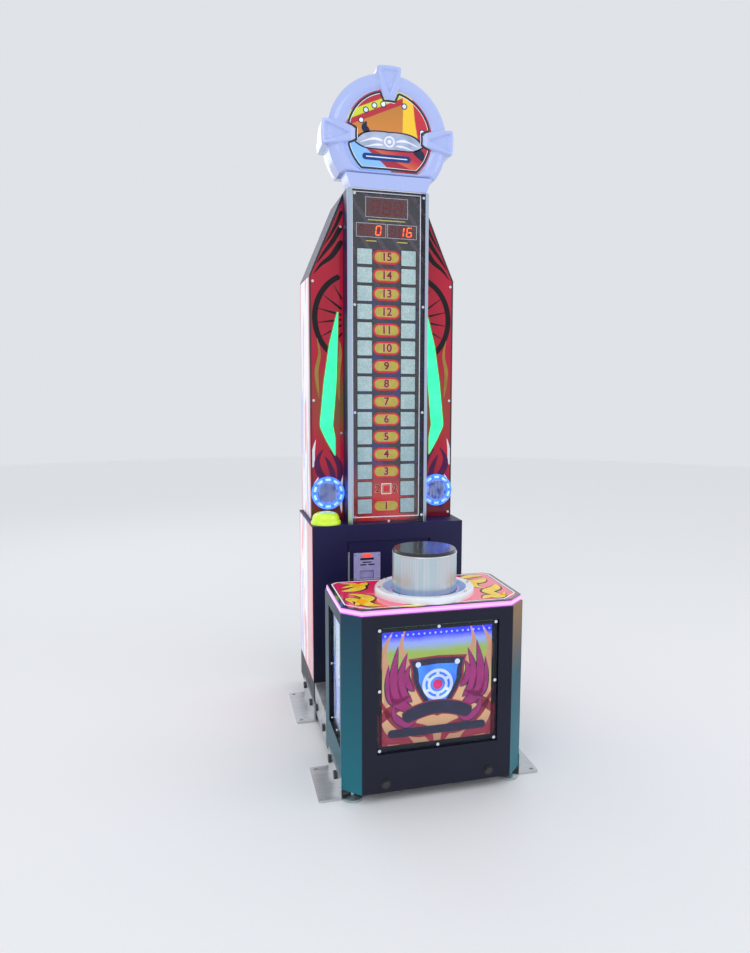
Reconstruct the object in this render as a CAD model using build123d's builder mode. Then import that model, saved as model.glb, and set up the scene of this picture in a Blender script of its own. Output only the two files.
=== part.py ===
from build123d import *
import math
import os

# A strength-tester arcade machine: a spring-loaded round striking pad on a low front pedestal, joined by a
# steel base to a rear tower with a numbered lamp column, two score displays, speakers, a coin door and a
# lit topper. Millimetres, +Z up, -Y is the front, and the origin is on the floor under the middle.

os.makedirs("parts", exist_ok=True)

# ---------------------------------------------------------------- driving sizes
body_width = 488.0            # pedestal and lower cabinet, side to side
overall_height = 2000.0
front_plane = -444.0          # front face of the pedestal
rear_plane = 440.0            # rear face of the tower
sheet = 2.0                   # cabinet sheet steel
play = 0.5                    # play between a shell and what stands inside it
corner_cut = 45.0             # 45 degree cut on the pedestal's front corners
shell_low = 28.0              # lower edge of both shells, above the floor

base_top = 115.0              # top of the steel deck
base_sheet = 3.0

pedestal_rear = -145.0
pedestal_top = 489.0
table_inset = 1.0
table_setback = 8.0           # how far the table stands back from the pedestal's front face
table_rear_cut = 20.0
edge_light_thick = 13.0
table_panel_thick = 3.0

striker_set = 144.0           # from the front face back to the axis of the striking pad
sleeve_r = 86.0
sleeve_wall = 2.0
sleeve_low = 434.0
sleeve_top = 616.0
striker_travel = 40.0
shaft_r = 20.0
running_gap = 0.05            # radial clearance of a shaft in its bush or a pin in its knuckle
flange_reach = 48.0           # how far each ring stands out from the sleeve
collar_reach = 26.0
rebate_reach = 18.0
table_hole_reach = 9.0
collar_gap = 4.0
flange_thick = 17.0

tower_front = 107.0           # front face of the lower cabinet
ledge_top = 617.0
wing_plane = 205.0            # front face of the two wings
wing_inset = 10.0             # how far the tower's sides stand in from the body's
shoulder_drop = 251.0         # from the column's top down to the tower's shoulders
column_front = 118.0
column_face_half = 117.0
column_cut = 11.0             # 45 degree cut on the column's front corners
column_face_y = 153.0         # printed face panel, behind the clear cover

row_count = 15
row_one_rise = 50.0           # from the ledge up to the middle of the first row
row_top_drop = 194.2          # from the column's top down to the middle of the last row
tile_wide = 46.0
tile_gap = 9.7                # between tiles, up the column
tile_margin = 15.0            # from a tile to the printed border line
pill_gap = 9.0                # from a tile to the number between
pill_height = 30.0

topper_r = 186.0
topper_depth = 122.0
topper_drop = 112.0           # from the topper's centre down to its flat bottom
neck_height = 43.0
topper_wall = 3.0
topper_bevel = 6.0            # stepped rounding of the topper's front edge

screw_head_r = 4.2
screw_head_h = 2.6
screw_r = 2.0

# ---------------------------------------------------------------- worked-out sizes
body_half = body_width / 2
inner_half = body_half - sheet
base_half = inner_half - play
base_front = front_plane + sheet + play
base_rear = rear_plane - sheet - play
wing_half = body_half - wing_inset
table_half = body_half - table_inset
table_front = front_plane + table_setback
striker_y = front_plane + striker_set
flange_r = sleeve_r + flange_reach
collar_outer_r = sleeve_r + collar_reach
rebate_r = sleeve_r + rebate_reach
table_hole_r = sleeve_r + table_hole_reach
collar_inner_r = sleeve_r + collar_gap
flange_screw_r = (flange_r + collar_outer_r) / 2
table_light_top = pedestal_top + edge_light_thick
table_top = table_light_top + table_panel_thick
column_side_half = column_face_half + column_cut
topper_bump = 18.0
topper_z = overall_height - topper_r - topper_bump
topper_low = topper_z - topper_drop
column_top = topper_low - neck_height
shoulder_z = column_top - shoulder_drop
row_one_z = ledge_top + row_one_rise
row_pitch = (column_top - row_top_drop - row_one_z) / (row_count - 1)
tile_high = row_pitch - tile_gap
frame_half = column_face_half - 9.0  # printed border line
tile_x = frame_half - tile_margin - tile_wide / 2
pill_length = 2 * (tile_x - tile_wide / 2 - pill_gap)
cut_shrink = 2 - math.sqrt(2)  # how much a 45 degree cut's leg shrinks for each mm of inset


def finish(part, name):
    """Label one finished piece and write its STEP file."""
    part.part.label = name
    export_step(part.part, f"parts/{name}.step")


def outline(half, front, rear, front_cut=0.0, rear_cut=0.0):
    """Plan outline of a body: a rectangle whose front and rear corners may be cut at 45 degrees."""
    points = [(-half + front_cut, front), (half - front_cut, front)]
    if front_cut:
        points.append((half, front + front_cut))
    points.append((half, rear - rear_cut))
    if rear_cut:
        points += [(half - rear_cut, rear), (-half + rear_cut, rear)]
    points.append((-half, rear - rear_cut))
    if front_cut:
        points.append((-half, front + front_cut))
    return points


def front_facing(y):
    """Plane at depth y that faces the front: x to the right, up is up, and its normal is -Y."""
    return Plane(origin=(0, y, 0), x_dir=(1, 0, 0), z_dir=(0, -1, 0))


def side_facing(side, x, y=0.0, z=0.0):
    """Plane at distance x on one side (-1 left, +1 right), facing outwards."""
    return Plane(origin=(side * x, y, z), x_dir=(0, side, 0), z_dir=(side, 0, 0))


# ---------------------------------------------------------------- base frame
foot_x = body_half - 29.0
foot_ys = (front_plane + 45.0, rear_plane - 41.0)
foot_plate_high = 6.0
foot_neck_high = 13.0
foot_stud_high = 72.0
jam_nut_high = 8.0
foot_stud_r = 6.0
gusset_size = 80.0
gusset_thick = 4.0

bracket_thick = 5.0
bracket_reach = 58.0
bracket_height = 60.0
bracket_spans = [(front_plane + 43.0, front_plane + 223.0), (rear_plane - 365.0, rear_plane - 129.0)]
bracket_hole_r = 5.5
bracket_hole_inset = 14.0
bracket_hole_x = body_half + 43.0
bracket_toe_r = 5.0

frame_bolt_r = 6.0
bolt_hole_r = 6.5
bolt_z = 47.0
bolt_inset = 45.0
bracket_bolt_ys = [y for start, end in bracket_spans for y in (start + bolt_inset, end - bolt_inset)]
deck_bolt_ys = [-105.0, 40.0]
deck_bolt_z = 62.0
front_bolt_x = body_half - 106.0
front_bolt_z = 51.0

striker_plate_size = 230.0
striker_plate_thick = 8.0
striker_bolt_offset = 102.0
post_size = 30.0
post_offset = 60.0

with BuildPart() as base_frame:
    base_cut = corner_cut - (sheet + play) * cut_shrink
    tray_cut = base_cut - base_sheet * cut_shrink
    tray = outline(base_half - base_sheet, base_front + base_sheet, base_rear - base_sheet, tray_cut)
    with BuildSketch(Plane.XY.offset(shell_low)):
        Polygon(*outline(base_half, base_front, base_rear, base_cut), align=None)
    extrude(amount=base_top - shell_low)
    with BuildSketch(Plane.XY.offset(shell_low)):
        Polygon(*tray, align=None)
    extrude(amount=base_top - shell_low - base_sheet, mode=Mode.SUBTRACT)
    for x in (-foot_x, foot_x):
        for y in foot_ys:
            with BuildSketch(Plane.XY.offset(shell_low)):
                Polygon(*tray, align=None)
                with Locations((x, y)):
                    Rectangle(gusset_size, gusset_size, mode=Mode.INTERSECT)
                    Circle(foot_stud_r + running_gap, mode=Mode.SUBTRACT)
            extrude(amount=gusset_thick)
    for side in (-1, 1):
        with BuildSketch(side_facing(side, base_half)):
            with Locations(*[(side * y, bolt_z) for y in bracket_bolt_ys]):
                Circle(bolt_hole_r)
            with Locations(*[(side * y, deck_bolt_z) for y in deck_bolt_ys]):
                Circle(bolt_hole_r)
        extrude(amount=-2 * base_sheet, mode=Mode.SUBTRACT)
    with BuildSketch(front_facing(base_front)):
        with Locations((-front_bolt_x, front_bolt_z), (front_bolt_x, front_bolt_z)):
            Circle(bolt_hole_r)
    extrude(amount=-2 * base_sheet, mode=Mode.SUBTRACT)
    with Locations((0, striker_y, base_top)):
        with GridLocations(2 * striker_bolt_offset, 2 * striker_bolt_offset, 2, 2):
            Hole(bolt_hole_r, depth=2 * base_sheet)
finish(base_frame, "base_frame")

with BuildPart() as floor_brackets:
    for side in (-1, 1):
        for start, end in bracket_spans:
            with BuildSketch(front_facing(end)):
                inner = side * body_half
                outer = side * (body_half + bracket_thick)
                toe = side * (body_half + bracket_reach)
                Polygon((inner, 0), (toe, 0), (toe, bracket_thick), (outer, bracket_thick),
                        (outer, bracket_height), (inner, bracket_height), align=None)
            extrude(amount=end - start)
            with BuildSketch():
                with Locations((side * bracket_hole_x, start + bracket_hole_inset),
                               (side * bracket_hole_x, end - bracket_hole_inset)):
                    Circle(bracket_hole_r)
            extrude(amount=bracket_thick, mode=Mode.SUBTRACT)
    for side in (-1, 1):
        with BuildSketch(side_facing(side, body_half + bracket_thick)):
            with Locations(*[(side * y, bolt_z) for y in bracket_bolt_ys]):
                Circle(bolt_hole_r)
        extrude(amount=-bracket_thick, mode=Mode.SUBTRACT)
    toes = floor_brackets.edges().filter_by(Axis.Z).filter_by(
        lambda edge: abs(abs(edge.center().X) - body_half - bracket_reach) < play)
    fillet(toes, radius=bracket_toe_r)
finish(floor_brackets, "floor_brackets")

bolt_head_r = 11.0
bolt_head_h = 8.0
bolt_shank = 28.0
washer_r = 12.0
washer_h = 2.0

with BuildPart() as frame_bolts:
    for side in (-1, 1):
        for ys, face, z in ((bracket_bolt_ys, body_half + bracket_thick, bolt_z),
                            (deck_bolt_ys, base_half, deck_bolt_z)):
            places = [(side * y, z) for y in ys]
            with BuildSketch(side_facing(side, face)):
                with Locations(*places):
                    RegularPolygon(bolt_head_r, 6)
            extrude(amount=bolt_head_h)
            with BuildSketch(side_facing(side, face)):
                with Locations(*places):
                    Circle(frame_bolt_r)
            extrude(amount=-bolt_shank)
    front_places = [(-front_bolt_x, front_bolt_z), (front_bolt_x, front_bolt_z)]
    for plane, radius, amount in ((front_facing(front_plane), washer_r, washer_h),
                                  (front_facing(front_plane - washer_h), bolt_head_r - 2, bolt_head_h / 2),
                                  (front_facing(front_plane), frame_bolt_r, -bolt_shank)):
        with BuildSketch(plane):
            with Locations(*front_places):
                Circle(radius)
        extrude(amount=amount)
    with BuildSketch(Plane.XY.offset(base_top + striker_plate_thick)):
        with Locations((0, striker_y)):
            with GridLocations(2 * striker_bolt_offset, 2 * striker_bolt_offset, 2, 2):
                RegularPolygon(bolt_head_r, 6)
    extrude(amount=bolt_head_h)
    with BuildSketch(Plane.XY.offset(base_top + striker_plate_thick)):
        with Locations((0, striker_y)):
            with GridLocations(2 * striker_bolt_offset, 2 * striker_bolt_offset, 2, 2):
                Circle(frame_bolt_r)
    extrude(amount=-bolt_shank)
finish(frame_bolts, "frame_bolts")

foot_r = 25.0
foot_neck_r = 10.0
with BuildPart() as levelling_feet:
    for x in (-foot_x, foot_x):
        for y in foot_ys:
            with BuildSketch(Plane.XZ.offset(-y)):
                Polygon((x, 0), (x + foot_r, 0), (x + foot_r, foot_plate_high),
                        (x + foot_neck_r, foot_neck_high), (x + foot_stud_r, foot_neck_high),
                        (x + foot_stud_r, foot_stud_high), (x, foot_stud_high), align=None)
            revolve(axis=Axis((x, y, 0), (0, 0, 1)))
            with BuildSketch(Plane.XY.offset(shell_low - jam_nut_high)):
                with Locations((x, y)):
                    RegularPolygon(bolt_head_r, 6)
            extrude(amount=jam_nut_high)
finish(levelling_feet, "levelling_feet")

# ---------------------------------------------------------------- pedestal
window_depth = 12.0
window_high = 328.0
window_z = 294.0
front_window_wide = body_width - 166.0
side_window_wide = pedestal_rear - front_plane - 119.0
side_window_y = (front_plane + pedestal_rear) / 2
art_border = 9.0              # how far the art stands in from the recess
lip = 15.0
cover_thick = 3.0
art_thick = 2.5
cover_play = 1.0
art_gap = 0.1
rear_flange = 15.0
rear_panel_screws = [(i * (inner_half - rear_flange / 2), z) for i in (-1, 1) for z in (150.0, 300.0, 450.0)]


def pedestal_windows_planes():
    """The three pedestal windows: outward plane through the middle of each, and its width."""
    return [(Plane(origin=(0, front_plane, window_z), x_dir=(1, 0, 0), z_dir=(0, -1, 0)), front_window_wide),
            (side_facing(-1, body_half, side_window_y, window_z), side_window_wide),
            (side_facing(1, body_half, side_window_y, window_z), side_window_wide)]


def window_screw_places(wide):
    """Eight screws round one window: the corners and the middle of each side."""
    half_w = wide / 2 - lip / 2
    half_h = window_high / 2 - lip / 2
    return [(i * half_w, j * half_h) for i in (-1, 0, 1) for j in (-1, 0, 1) if i or j]


with BuildPart() as pedestal_shell:
    with BuildSketch(Plane.XY.offset(shell_low)):
        Polygon(*outline(body_half, front_plane, pedestal_rear, corner_cut), align=None)
    extrude(amount=pedestal_top - shell_low)
    with BuildSketch(Plane.XY.offset(shell_low)):
        Polygon(*outline(inner_half, front_plane + sheet, pedestal_rear, corner_cut - sheet * cut_shrink),
                align=None)
    extrude(amount=pedestal_top - shell_low - sheet, mode=Mode.SUBTRACT)
    for side in (-1, 1):
        with BuildSketch(Plane.XY.offset(base_top + play)):
            with Locations((side * (inner_half - rear_flange / 2), pedestal_rear - 1.5 * sheet)):
                Rectangle(rear_flange, sheet)
        extrude(amount=pedestal_top - base_top - play)
    with BuildSketch(Plane.XY.offset(pedestal_top)):
        with Locations((0, striker_y)):
            Circle(table_hole_r)
    extrude(amount=-sheet, mode=Mode.SUBTRACT)
    for plane, wide in pedestal_windows_planes():
        with BuildSketch(plane):
            Rectangle(wide + 2 * sheet, window_high + 2 * sheet)
        extrude(amount=-window_depth)
        with BuildSketch(plane):
            Rectangle(wide, window_high)
        extrude(amount=sheet - window_depth, mode=Mode.SUBTRACT)
        with BuildSketch(plane):
            Rectangle(wide - 2 * lip, window_high - 2 * lip)
            with Locations(*window_screw_places(wide)):
                Circle(screw_r + running_gap)
        extrude(amount=-window_depth, mode=Mode.SUBTRACT)
    for side in (-1, 1):
        with BuildSketch(side_facing(side, body_half)):
            with Locations(*[(side * y, bolt_z) for y in bracket_bolt_ys if y < pedestal_rear]):
                Circle(bolt_hole_r)
        extrude(amount=-sheet, mode=Mode.SUBTRACT)
    with BuildSketch(front_facing(front_plane)):
        with Locations(*front_places):
            Circle(bolt_hole_r)
    extrude(amount=-sheet, mode=Mode.SUBTRACT)
    with BuildSketch(front_facing(pedestal_rear)):
        with Locations(*rear_panel_screws):
            Circle(screw_r + running_gap)
    extrude(amount=3 * sheet, mode=Mode.SUBTRACT)
finish(pedestal_shell, "pedestal_shell")

with BuildPart() as pedestal_rear_panel:
    with BuildSketch(front_facing(pedestal_rear)):
        with Locations((0, (pedestal_top - sheet + base_top) / 2)):
            Rectangle(2 * (inner_half - play), pedestal_top - sheet - base_top - 2 * play)
        with Locations(*rear_panel_screws):
            Circle(screw_r + running_gap, mode=Mode.SUBTRACT)
    extrude(amount=sheet)
finish(pedestal_rear_panel, "pedestal_rear_panel")

with BuildPart() as pedestal_windows:
    for plane, wide in pedestal_windows_planes():
        with BuildSketch(plane.offset(sheet - window_depth)):
            Rectangle(wide - cover_play, window_high - cover_play)
            with Locations(*window_screw_places(wide)):
                Circle(screw_r + running_gap, mode=Mode.SUBTRACT)
        extrude(amount=cover_thick)
finish(pedestal_windows, "pedestal_windows")

with BuildPart() as pedestal_art_panels:
    for plane, wide in pedestal_windows_planes():
        with BuildSketch(plane.offset(-window_depth - art_gap)):
            Rectangle(wide - 2 * art_border, window_high - 2 * art_border)
            with Locations(*window_screw_places(wide)):
                Circle(2 * screw_r, mode=Mode.SUBTRACT)
        extrude(amount=-art_thick)
finish(pedestal_art_panels, "pedestal_art_panels")

# ---------------------------------------------------------------- table top
with BuildPart() as table_edge_light:
    with BuildSketch(Plane.XY.offset(pedestal_top)):
        Polygon(*outline(table_half, table_front, pedestal_rear, corner_cut, table_rear_cut), align=None)
        with Locations((0, striker_y)):
            Circle(table_hole_r, mode=Mode.SUBTRACT)
    extrude(amount=edge_light_thick)
finish(table_edge_light, "table_edge_light")

panel_inset = 1.5
flange_screws = 8
with BuildPart() as table_art_panel:
    with BuildSketch(Plane.XY.offset(table_light_top)):
        Polygon(*outline(table_half - panel_inset, table_front + panel_inset, pedestal_rear - panel_inset,
                         corner_cut - panel_inset * cut_shrink, table_rear_cut), align=None)
        with Locations((0, striker_y)):
            Circle(table_hole_r, mode=Mode.SUBTRACT)
            with PolarLocations(flange_screw_r, flange_screws):
                Circle(screw_r + running_gap, mode=Mode.SUBTRACT)
    extrude(amount=table_panel_thick)
finish(table_art_panel, "table_art_panel")

rebate_h = 4.0
rim_high = 8.0                # where the flange's outside starts to round over
rim_round = 5.0
collar_step = 4.0
collar_drop = 3.0
striker_axis = Axis((0, striker_y, 0), (0, 0, 1))
with BuildPart() as striker_flange:
    with BuildSketch(Plane.XZ.offset(-striker_y)):
        with BuildLine():
            Polyline((rebate_r, table_top), (flange_r, table_top), (flange_r, table_top + rim_high))
            FilletPolyline((flange_r, table_top + rim_high), (flange_r - 2, table_top + flange_thick),
                           (collar_outer_r, table_top + flange_thick - 1), radius=rim_round)
            Polyline((collar_outer_r, table_top + flange_thick - 1), (collar_outer_r, table_top + rebate_h),
                     (rebate_r, table_top + rebate_h), (rebate_r, table_top))
        make_face()
    revolve(axis=striker_axis)
    with Locations((0, striker_y, table_top + flange_thick)):
        with PolarLocations(flange_screw_r, flange_screws):
            Hole(screw_r + running_gap, depth=flange_thick)
finish(striker_flange, "striker_flange")

with BuildPart() as striker_collar:
    with BuildSketch(Plane.XZ.offset(-striker_y)):
        Polygon((collar_inner_r, table_top), (rebate_r, table_top), (rebate_r, table_top + rebate_h),
                (collar_outer_r, table_top + rebate_h), (collar_outer_r, table_top + flange_thick - collar_drop),
                (collar_inner_r + collar_step, table_top + rim_high), (collar_inner_r, table_top + rim_high),
                align=None)
    revolve(axis=striker_axis)
finish(striker_collar, "striker_collar")

# ---------------------------------------------------------------- striker mechanism
guide_tube_r = 35.0
bush_r = 28.0
bush_length = 30.0
frame_plate_z = 380.0
guide_low = 260.0
frame_low = base_top
frame_foot_top = frame_low + striker_plate_thick
frame_top = frame_plate_z + striker_plate_thick
stop_washer = 2.0
shaft_low = 200.0
plate_low = 596.0
plate_thick = 4.0
shaft_flange = 10.0
sensor_bar_z = 205.0
sensor_bar_h = 25.0
sensor_wide = 20.0
sensor_slot = (14.0, 4.0)
bumper_taper = 8.0
shaft_flange_r = 44.0

with BuildPart() as striker_frame:
    for low in (frame_low, frame_plate_z):
        with BuildSketch(Plane.XY.offset(low)):
            with Locations((0, striker_y)):
                Rectangle(striker_plate_size, striker_plate_size)
        extrude(amount=striker_plate_thick)
    with BuildSketch(Plane.XY.offset(frame_low)):
        with Locations((0, striker_y)):
            with GridLocations(2 * post_offset, 2 * post_offset, 2, 2):
                Rectangle(post_size, post_size)
    extrude(amount=frame_top - frame_low)
    with BuildSketch(Plane.XY.offset(guide_low)):
        with Locations((0, striker_y)):
            Circle(guide_tube_r)
    extrude(amount=frame_top - guide_low)
    with BuildSketch(Plane.XY.offset(guide_low)):
        with Locations((0, striker_y)):
            Circle(bush_r)
    extrude(amount=frame_top - guide_low, mode=Mode.SUBTRACT)
    with BuildSketch(Plane.XY.offset(sensor_bar_z)):
        with Locations((post_offset, striker_y)):
            Rectangle(post_size / 3, 2 * post_offset)
    extrude(amount=sensor_bar_h)
    with Locations((0, striker_y, frame_foot_top)):
        with GridLocations(2 * striker_bolt_offset, 2 * striker_bolt_offset, 2, 2):
            Hole(bolt_hole_r, depth=striker_plate_thick)
finish(striker_frame, "striker_frame")

with BuildPart() as guide_bushes:
    for low in (guide_low, frame_top - bush_length):
        with BuildSketch(Plane.XY.offset(low)):
            with Locations((0, striker_y)):
                Circle(bush_r)
                Circle(shaft_r + running_gap, mode=Mode.SUBTRACT)
        extrude(amount=bush_length)
finish(guide_bushes, "guide_bushes")

bumper_r = 30.0
with BuildPart() as stop_bumpers:
    with BuildSketch(Plane.XY.offset(frame_foot_top)):
        with Locations((0, striker_y)):
            Circle(bumper_r)
    extrude(amount=shaft_low - striker_travel - play - frame_foot_top, taper=bumper_taper)
    with BuildSketch(Plane.XY.offset(guide_low - stop_washer)):
        with Locations((0, striker_y)):
            Circle(guide_tube_r - 1)
            Circle(shaft_r + 2, mode=Mode.SUBTRACT)
    extrude(amount=stop_washer)
finish(stop_bumpers, "stop_bumpers")

stop_collar_h = 22.0
flag_thick = 1.5
flag_reach = 24.0
with BuildPart() as striker_shaft:
    with BuildSketch(Plane.XY.offset(shaft_low)):
        with Locations((0, striker_y)):
            Circle(shaft_r)
    extrude(amount=plate_low - shaft_low)
    with BuildSketch(Plane.XY.offset(plate_low - shaft_flange)):
        with Locations((0, striker_y)):
            Circle(shaft_flange_r)
    extrude(amount=shaft_flange)
    with BuildSketch(Plane.XY.offset(guide_low - stop_washer - stop_collar_h)):
        with Locations((0, striker_y)):
            Circle(guide_tube_r - 1)
        with Locations((guide_tube_r - 1, striker_y)):
            Rectangle(flag_reach, flag_thick)
    extrude(amount=stop_collar_h)
finish(striker_shaft, "striker_shaft")

sensor_top = guide_low - stop_washer - stop_collar_h - 1
with BuildPart() as hit_sensor:
    sensor_inner = guide_tube_r + 3
    sensor_outer = post_offset - post_size / 6
    with BuildSketch(Plane.XY.offset(sensor_bar_z)):
        with Locations(((sensor_inner + sensor_outer) / 2, striker_y)):
            Rectangle(sensor_outer - sensor_inner, sensor_wide)
    extrude(amount=sensor_top - sensor_bar_z)
    with BuildSketch(Plane.XY.offset(sensor_bar_z - striker_travel)):
        with Locations((sensor_inner + 5, striker_y)):
            Rectangle(*sensor_slot)
    extrude(amount=sensor_top - sensor_bar_z + striker_travel, mode=Mode.SUBTRACT)
finish(hit_sensor, "hit_sensor")

spring_wire_r = 3.0
spring_r = 31.0
spring_turns = 9
with BuildPart() as striker_spring:
    spring_rise = plate_low - shaft_flange - frame_top - 2 * spring_wire_r
    with BuildLine(Plane(origin=(0, striker_y, frame_top + spring_wire_r))) as spring_path:
        Helix(pitch=spring_rise / spring_turns, height=spring_rise, radius=spring_r)
    with BuildSketch(Plane(origin=spring_path.line @ 0, z_dir=spring_path.line % 0)):
        Circle(spring_wire_r)
    sweep(path=spring_path.line, is_frenet=True)
finish(striker_spring, "striker_spring")

with BuildPart() as striker_sleeve:
    with BuildSketch(Plane.XY.offset(sleeve_low)):
        with Locations((0, striker_y)):
            Circle(sleeve_r)
            Circle(sleeve_r - sleeve_wall, mode=Mode.SUBTRACT)
    extrude(amount=sleeve_top - sleeve_low)
    with BuildSketch(Plane.XY.offset(plate_low)):
        with Locations((0, striker_y)):
            Circle(sleeve_r - sleeve_wall)
    extrude(amount=plate_thick)
finish(striker_sleeve, "striker_sleeve")

pad_proud = 8.0
pad_bevel = 2.5
with BuildPart() as striker_pad:
    pad_r = sleeve_r - sleeve_wall - running_gap
    with BuildSketch(Plane.XZ.offset(-striker_y)):
        Polygon((0, plate_low + plate_thick), (pad_r, plate_low + plate_thick), (pad_r, sleeve_top),
                (pad_r - 0.4, sleeve_top + pad_proud - pad_bevel), (pad_r - pad_bevel, sleeve_top + pad_proud),
                (0, sleeve_top + pad_proud), align=None)
    revolve(axis=striker_axis)
finish(striker_pad, "striker_pad")

# ---------------------------------------------------------------- lower cabinet
door_wide = 272.0
door_high = 330.0
door_z = 400.0
door_recess = 12.0
door_lip = 8.0
rear_door_wide = 380.0
rear_door_high = 400.0
rear_door_z = 370.0
rear_door_lap = 10.0
wiring_margin = 30.0          # from the tower's walls to the opening between its two parts
inlet_x = -150.0
inlet_z = 136.0
inlet_wide = 60.0
inlet_high = 24.0
button_x = 49.0 - body_half
button_y = (tower_front + wing_plane) / 2 - 1.0
button_stem_r = 12.0
button_gap = 0.4

with BuildPart() as lower_cabinet:
    with BuildSketch(Plane.XY.offset(shell_low)):
        Polygon(*outline(body_half, tower_front, rear_plane), align=None)
    extrude(amount=ledge_top - shell_low)
    with BuildSketch(Plane.XY.offset(shell_low)):
        Polygon(*outline(inner_half, tower_front + sheet, rear_plane - sheet), align=None)
    extrude(amount=ledge_top - shell_low - sheet, mode=Mode.SUBTRACT)
    with BuildSketch(front_facing(tower_front)):
        with Locations((0, (shell_low + base_top + play) / 2)):
            Rectangle(2 * inner_half, base_top + play - shell_low)
    extrude(amount=-sheet, mode=Mode.SUBTRACT)
    door_plane = Plane(origin=(0, tower_front, door_z), x_dir=(1, 0, 0), z_dir=(0, -1, 0))
    with BuildSketch(door_plane):
        Rectangle(door_wide + 2 * sheet, door_high + 2 * sheet)
    extrude(amount=-door_recess)
    with BuildSketch(door_plane):
        Rectangle(door_wide, door_high)
    extrude(amount=sheet - door_recess, mode=Mode.SUBTRACT)
    with BuildSketch(door_plane):
        Rectangle(door_wide - 2 * door_lip, door_high - 2 * door_lip)
    extrude(amount=-door_recess, mode=Mode.SUBTRACT)
    with BuildSketch(front_facing(rear_plane)):
        with Locations((0, rear_door_z)):
            Rectangle(rear_door_wide, rear_door_high)
        with Locations((inlet_x, inlet_z)):
            Rectangle(inlet_wide, inlet_high)
    extrude(amount=sheet, mode=Mode.SUBTRACT)
    with BuildSketch(Plane.XY.offset(ledge_top)):
        with Locations((0, (wing_plane + rear_plane) / 2)):
            Rectangle(2 * (wing_half - wiring_margin), rear_plane - wing_plane - 2 * wiring_margin)
        with Locations((button_x, button_y)):
            Circle(button_stem_r + button_gap)
    extrude(amount=-sheet, mode=Mode.SUBTRACT)
    for side in (-1, 1):
        with BuildSketch(side_facing(side, body_half)):
            with Locations(*[(side * y, bolt_z) for y in bracket_bolt_ys if y > tower_front]):
                Circle(bolt_hole_r)
        extrude(amount=-sheet, mode=Mode.SUBTRACT)
finish(lower_cabinet, "lower_cabinet")

# ---------------------------------------------------------------- upper cabinet
speaker_gap = 0.4             # each side, between the ring, the column and the tower's edge
speaker_x = (column_side_half + wing_half) / 2
speaker_z = ledge_top + 91.0
speaker_r = (wing_half - column_side_half) / 2 - speaker_gap
speaker_hole_r = speaker_r - 10.6
column_slot_half = column_side_half - 28.0
column_slot_low = ledge_top + 43.0
column_slot_high = column_top - 41.0
upper_door_half = wing_half - 44.0
upper_door_low = ledge_top + 53.0
upper_door_high = shoulder_z - 20.0
vent_slot = (160.0, 6.0)
vent_pitch = 14.0
vent_rows = 6
vent_drop = 60.0
cover_lap = 14.0
cover_screws = [(i * (upper_door_half + cover_lap / 2), z) for i in (-1, 1)
                for z in (upper_door_low, (upper_door_low + upper_door_high) / 2, upper_door_high)]
wing_panel_thick = 2.0
wing_screws = [(wing_half - 10.0, shoulder_z - 18.0), (wing_half - 10.0, (ledge_top + shoulder_z) / 2),
               (column_side_half + 8.0, column_top - 101.0), (column_side_half + 8.0, speaker_z + 192.0),
               (wing_half - 10.0, ledge_top + 15.0)]


def wing_outline(inset=0.0):
    """Front outline of the upper cabinet, from the ledge up to its shoulders and in to the column's top."""
    return [(-wing_half + inset, ledge_top + inset), (wing_half - inset, ledge_top + inset),
            (wing_half - inset, shoulder_z), (column_side_half - inset, column_top - inset),
            (-column_side_half + inset, column_top - inset), (-wing_half + inset, shoulder_z)]


with BuildPart() as upper_cabinet:
    with BuildSketch(front_facing(rear_plane)):
        Polygon(*wing_outline(), align=None)
    extrude(amount=rear_plane - wing_plane)
    with BuildSketch(front_facing(rear_plane - sheet)):
        Polygon(*wing_outline(sheet), align=None)
    extrude(amount=rear_plane - wing_plane - 2 * sheet, mode=Mode.SUBTRACT)
    with BuildSketch(Plane.XY.offset(ledge_top)):
        with Locations((0, (wing_plane + rear_plane) / 2)):
            Rectangle(2 * (wing_half - wiring_margin), rear_plane - wing_plane - 2 * wiring_margin)
    extrude(amount=sheet, mode=Mode.SUBTRACT)
    with BuildSketch(front_facing(wing_plane)):
        with Locations((-speaker_x, speaker_z), (speaker_x, speaker_z)):
            Circle(speaker_hole_r)
        with Locations((0, (column_slot_low + column_slot_high) / 2)):
            Rectangle(2 * column_slot_half, column_slot_high - column_slot_low)
        with Locations(*[(side * x, z) for side in (-1, 1) for x, z in wing_screws]):
            Circle(screw_r + running_gap)
    extrude(amount=-sheet, mode=Mode.SUBTRACT)
    with BuildSketch(front_facing(rear_plane)):
        with Locations((0, (upper_door_low + upper_door_high) / 2)):
            Rectangle(2 * upper_door_half, upper_door_high - upper_door_low)
        with Locations(*cover_screws):
            Circle(screw_r + running_gap)
    extrude(amount=sheet, mode=Mode.SUBTRACT)
finish(upper_cabinet, "upper_cabinet")

with BuildPart() as upper_rear_cover:
    with BuildSketch(front_facing(rear_plane + sheet)):
        with Locations((0, (upper_door_low + upper_door_high) / 2)):
            Rectangle(2 * (upper_door_half + cover_lap), upper_door_high - upper_door_low + 2 * cover_lap)
        with Locations(*cover_screws):
            Circle(screw_r + running_gap, mode=Mode.SUBTRACT)
        with Locations((0, upper_door_high - vent_drop)):
            with GridLocations(0, vent_pitch, 1, vent_rows):
                SlotOverall(*vent_slot, mode=Mode.SUBTRACT)
    extrude(amount=sheet)
finish(upper_rear_cover, "upper_rear_cover")

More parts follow.
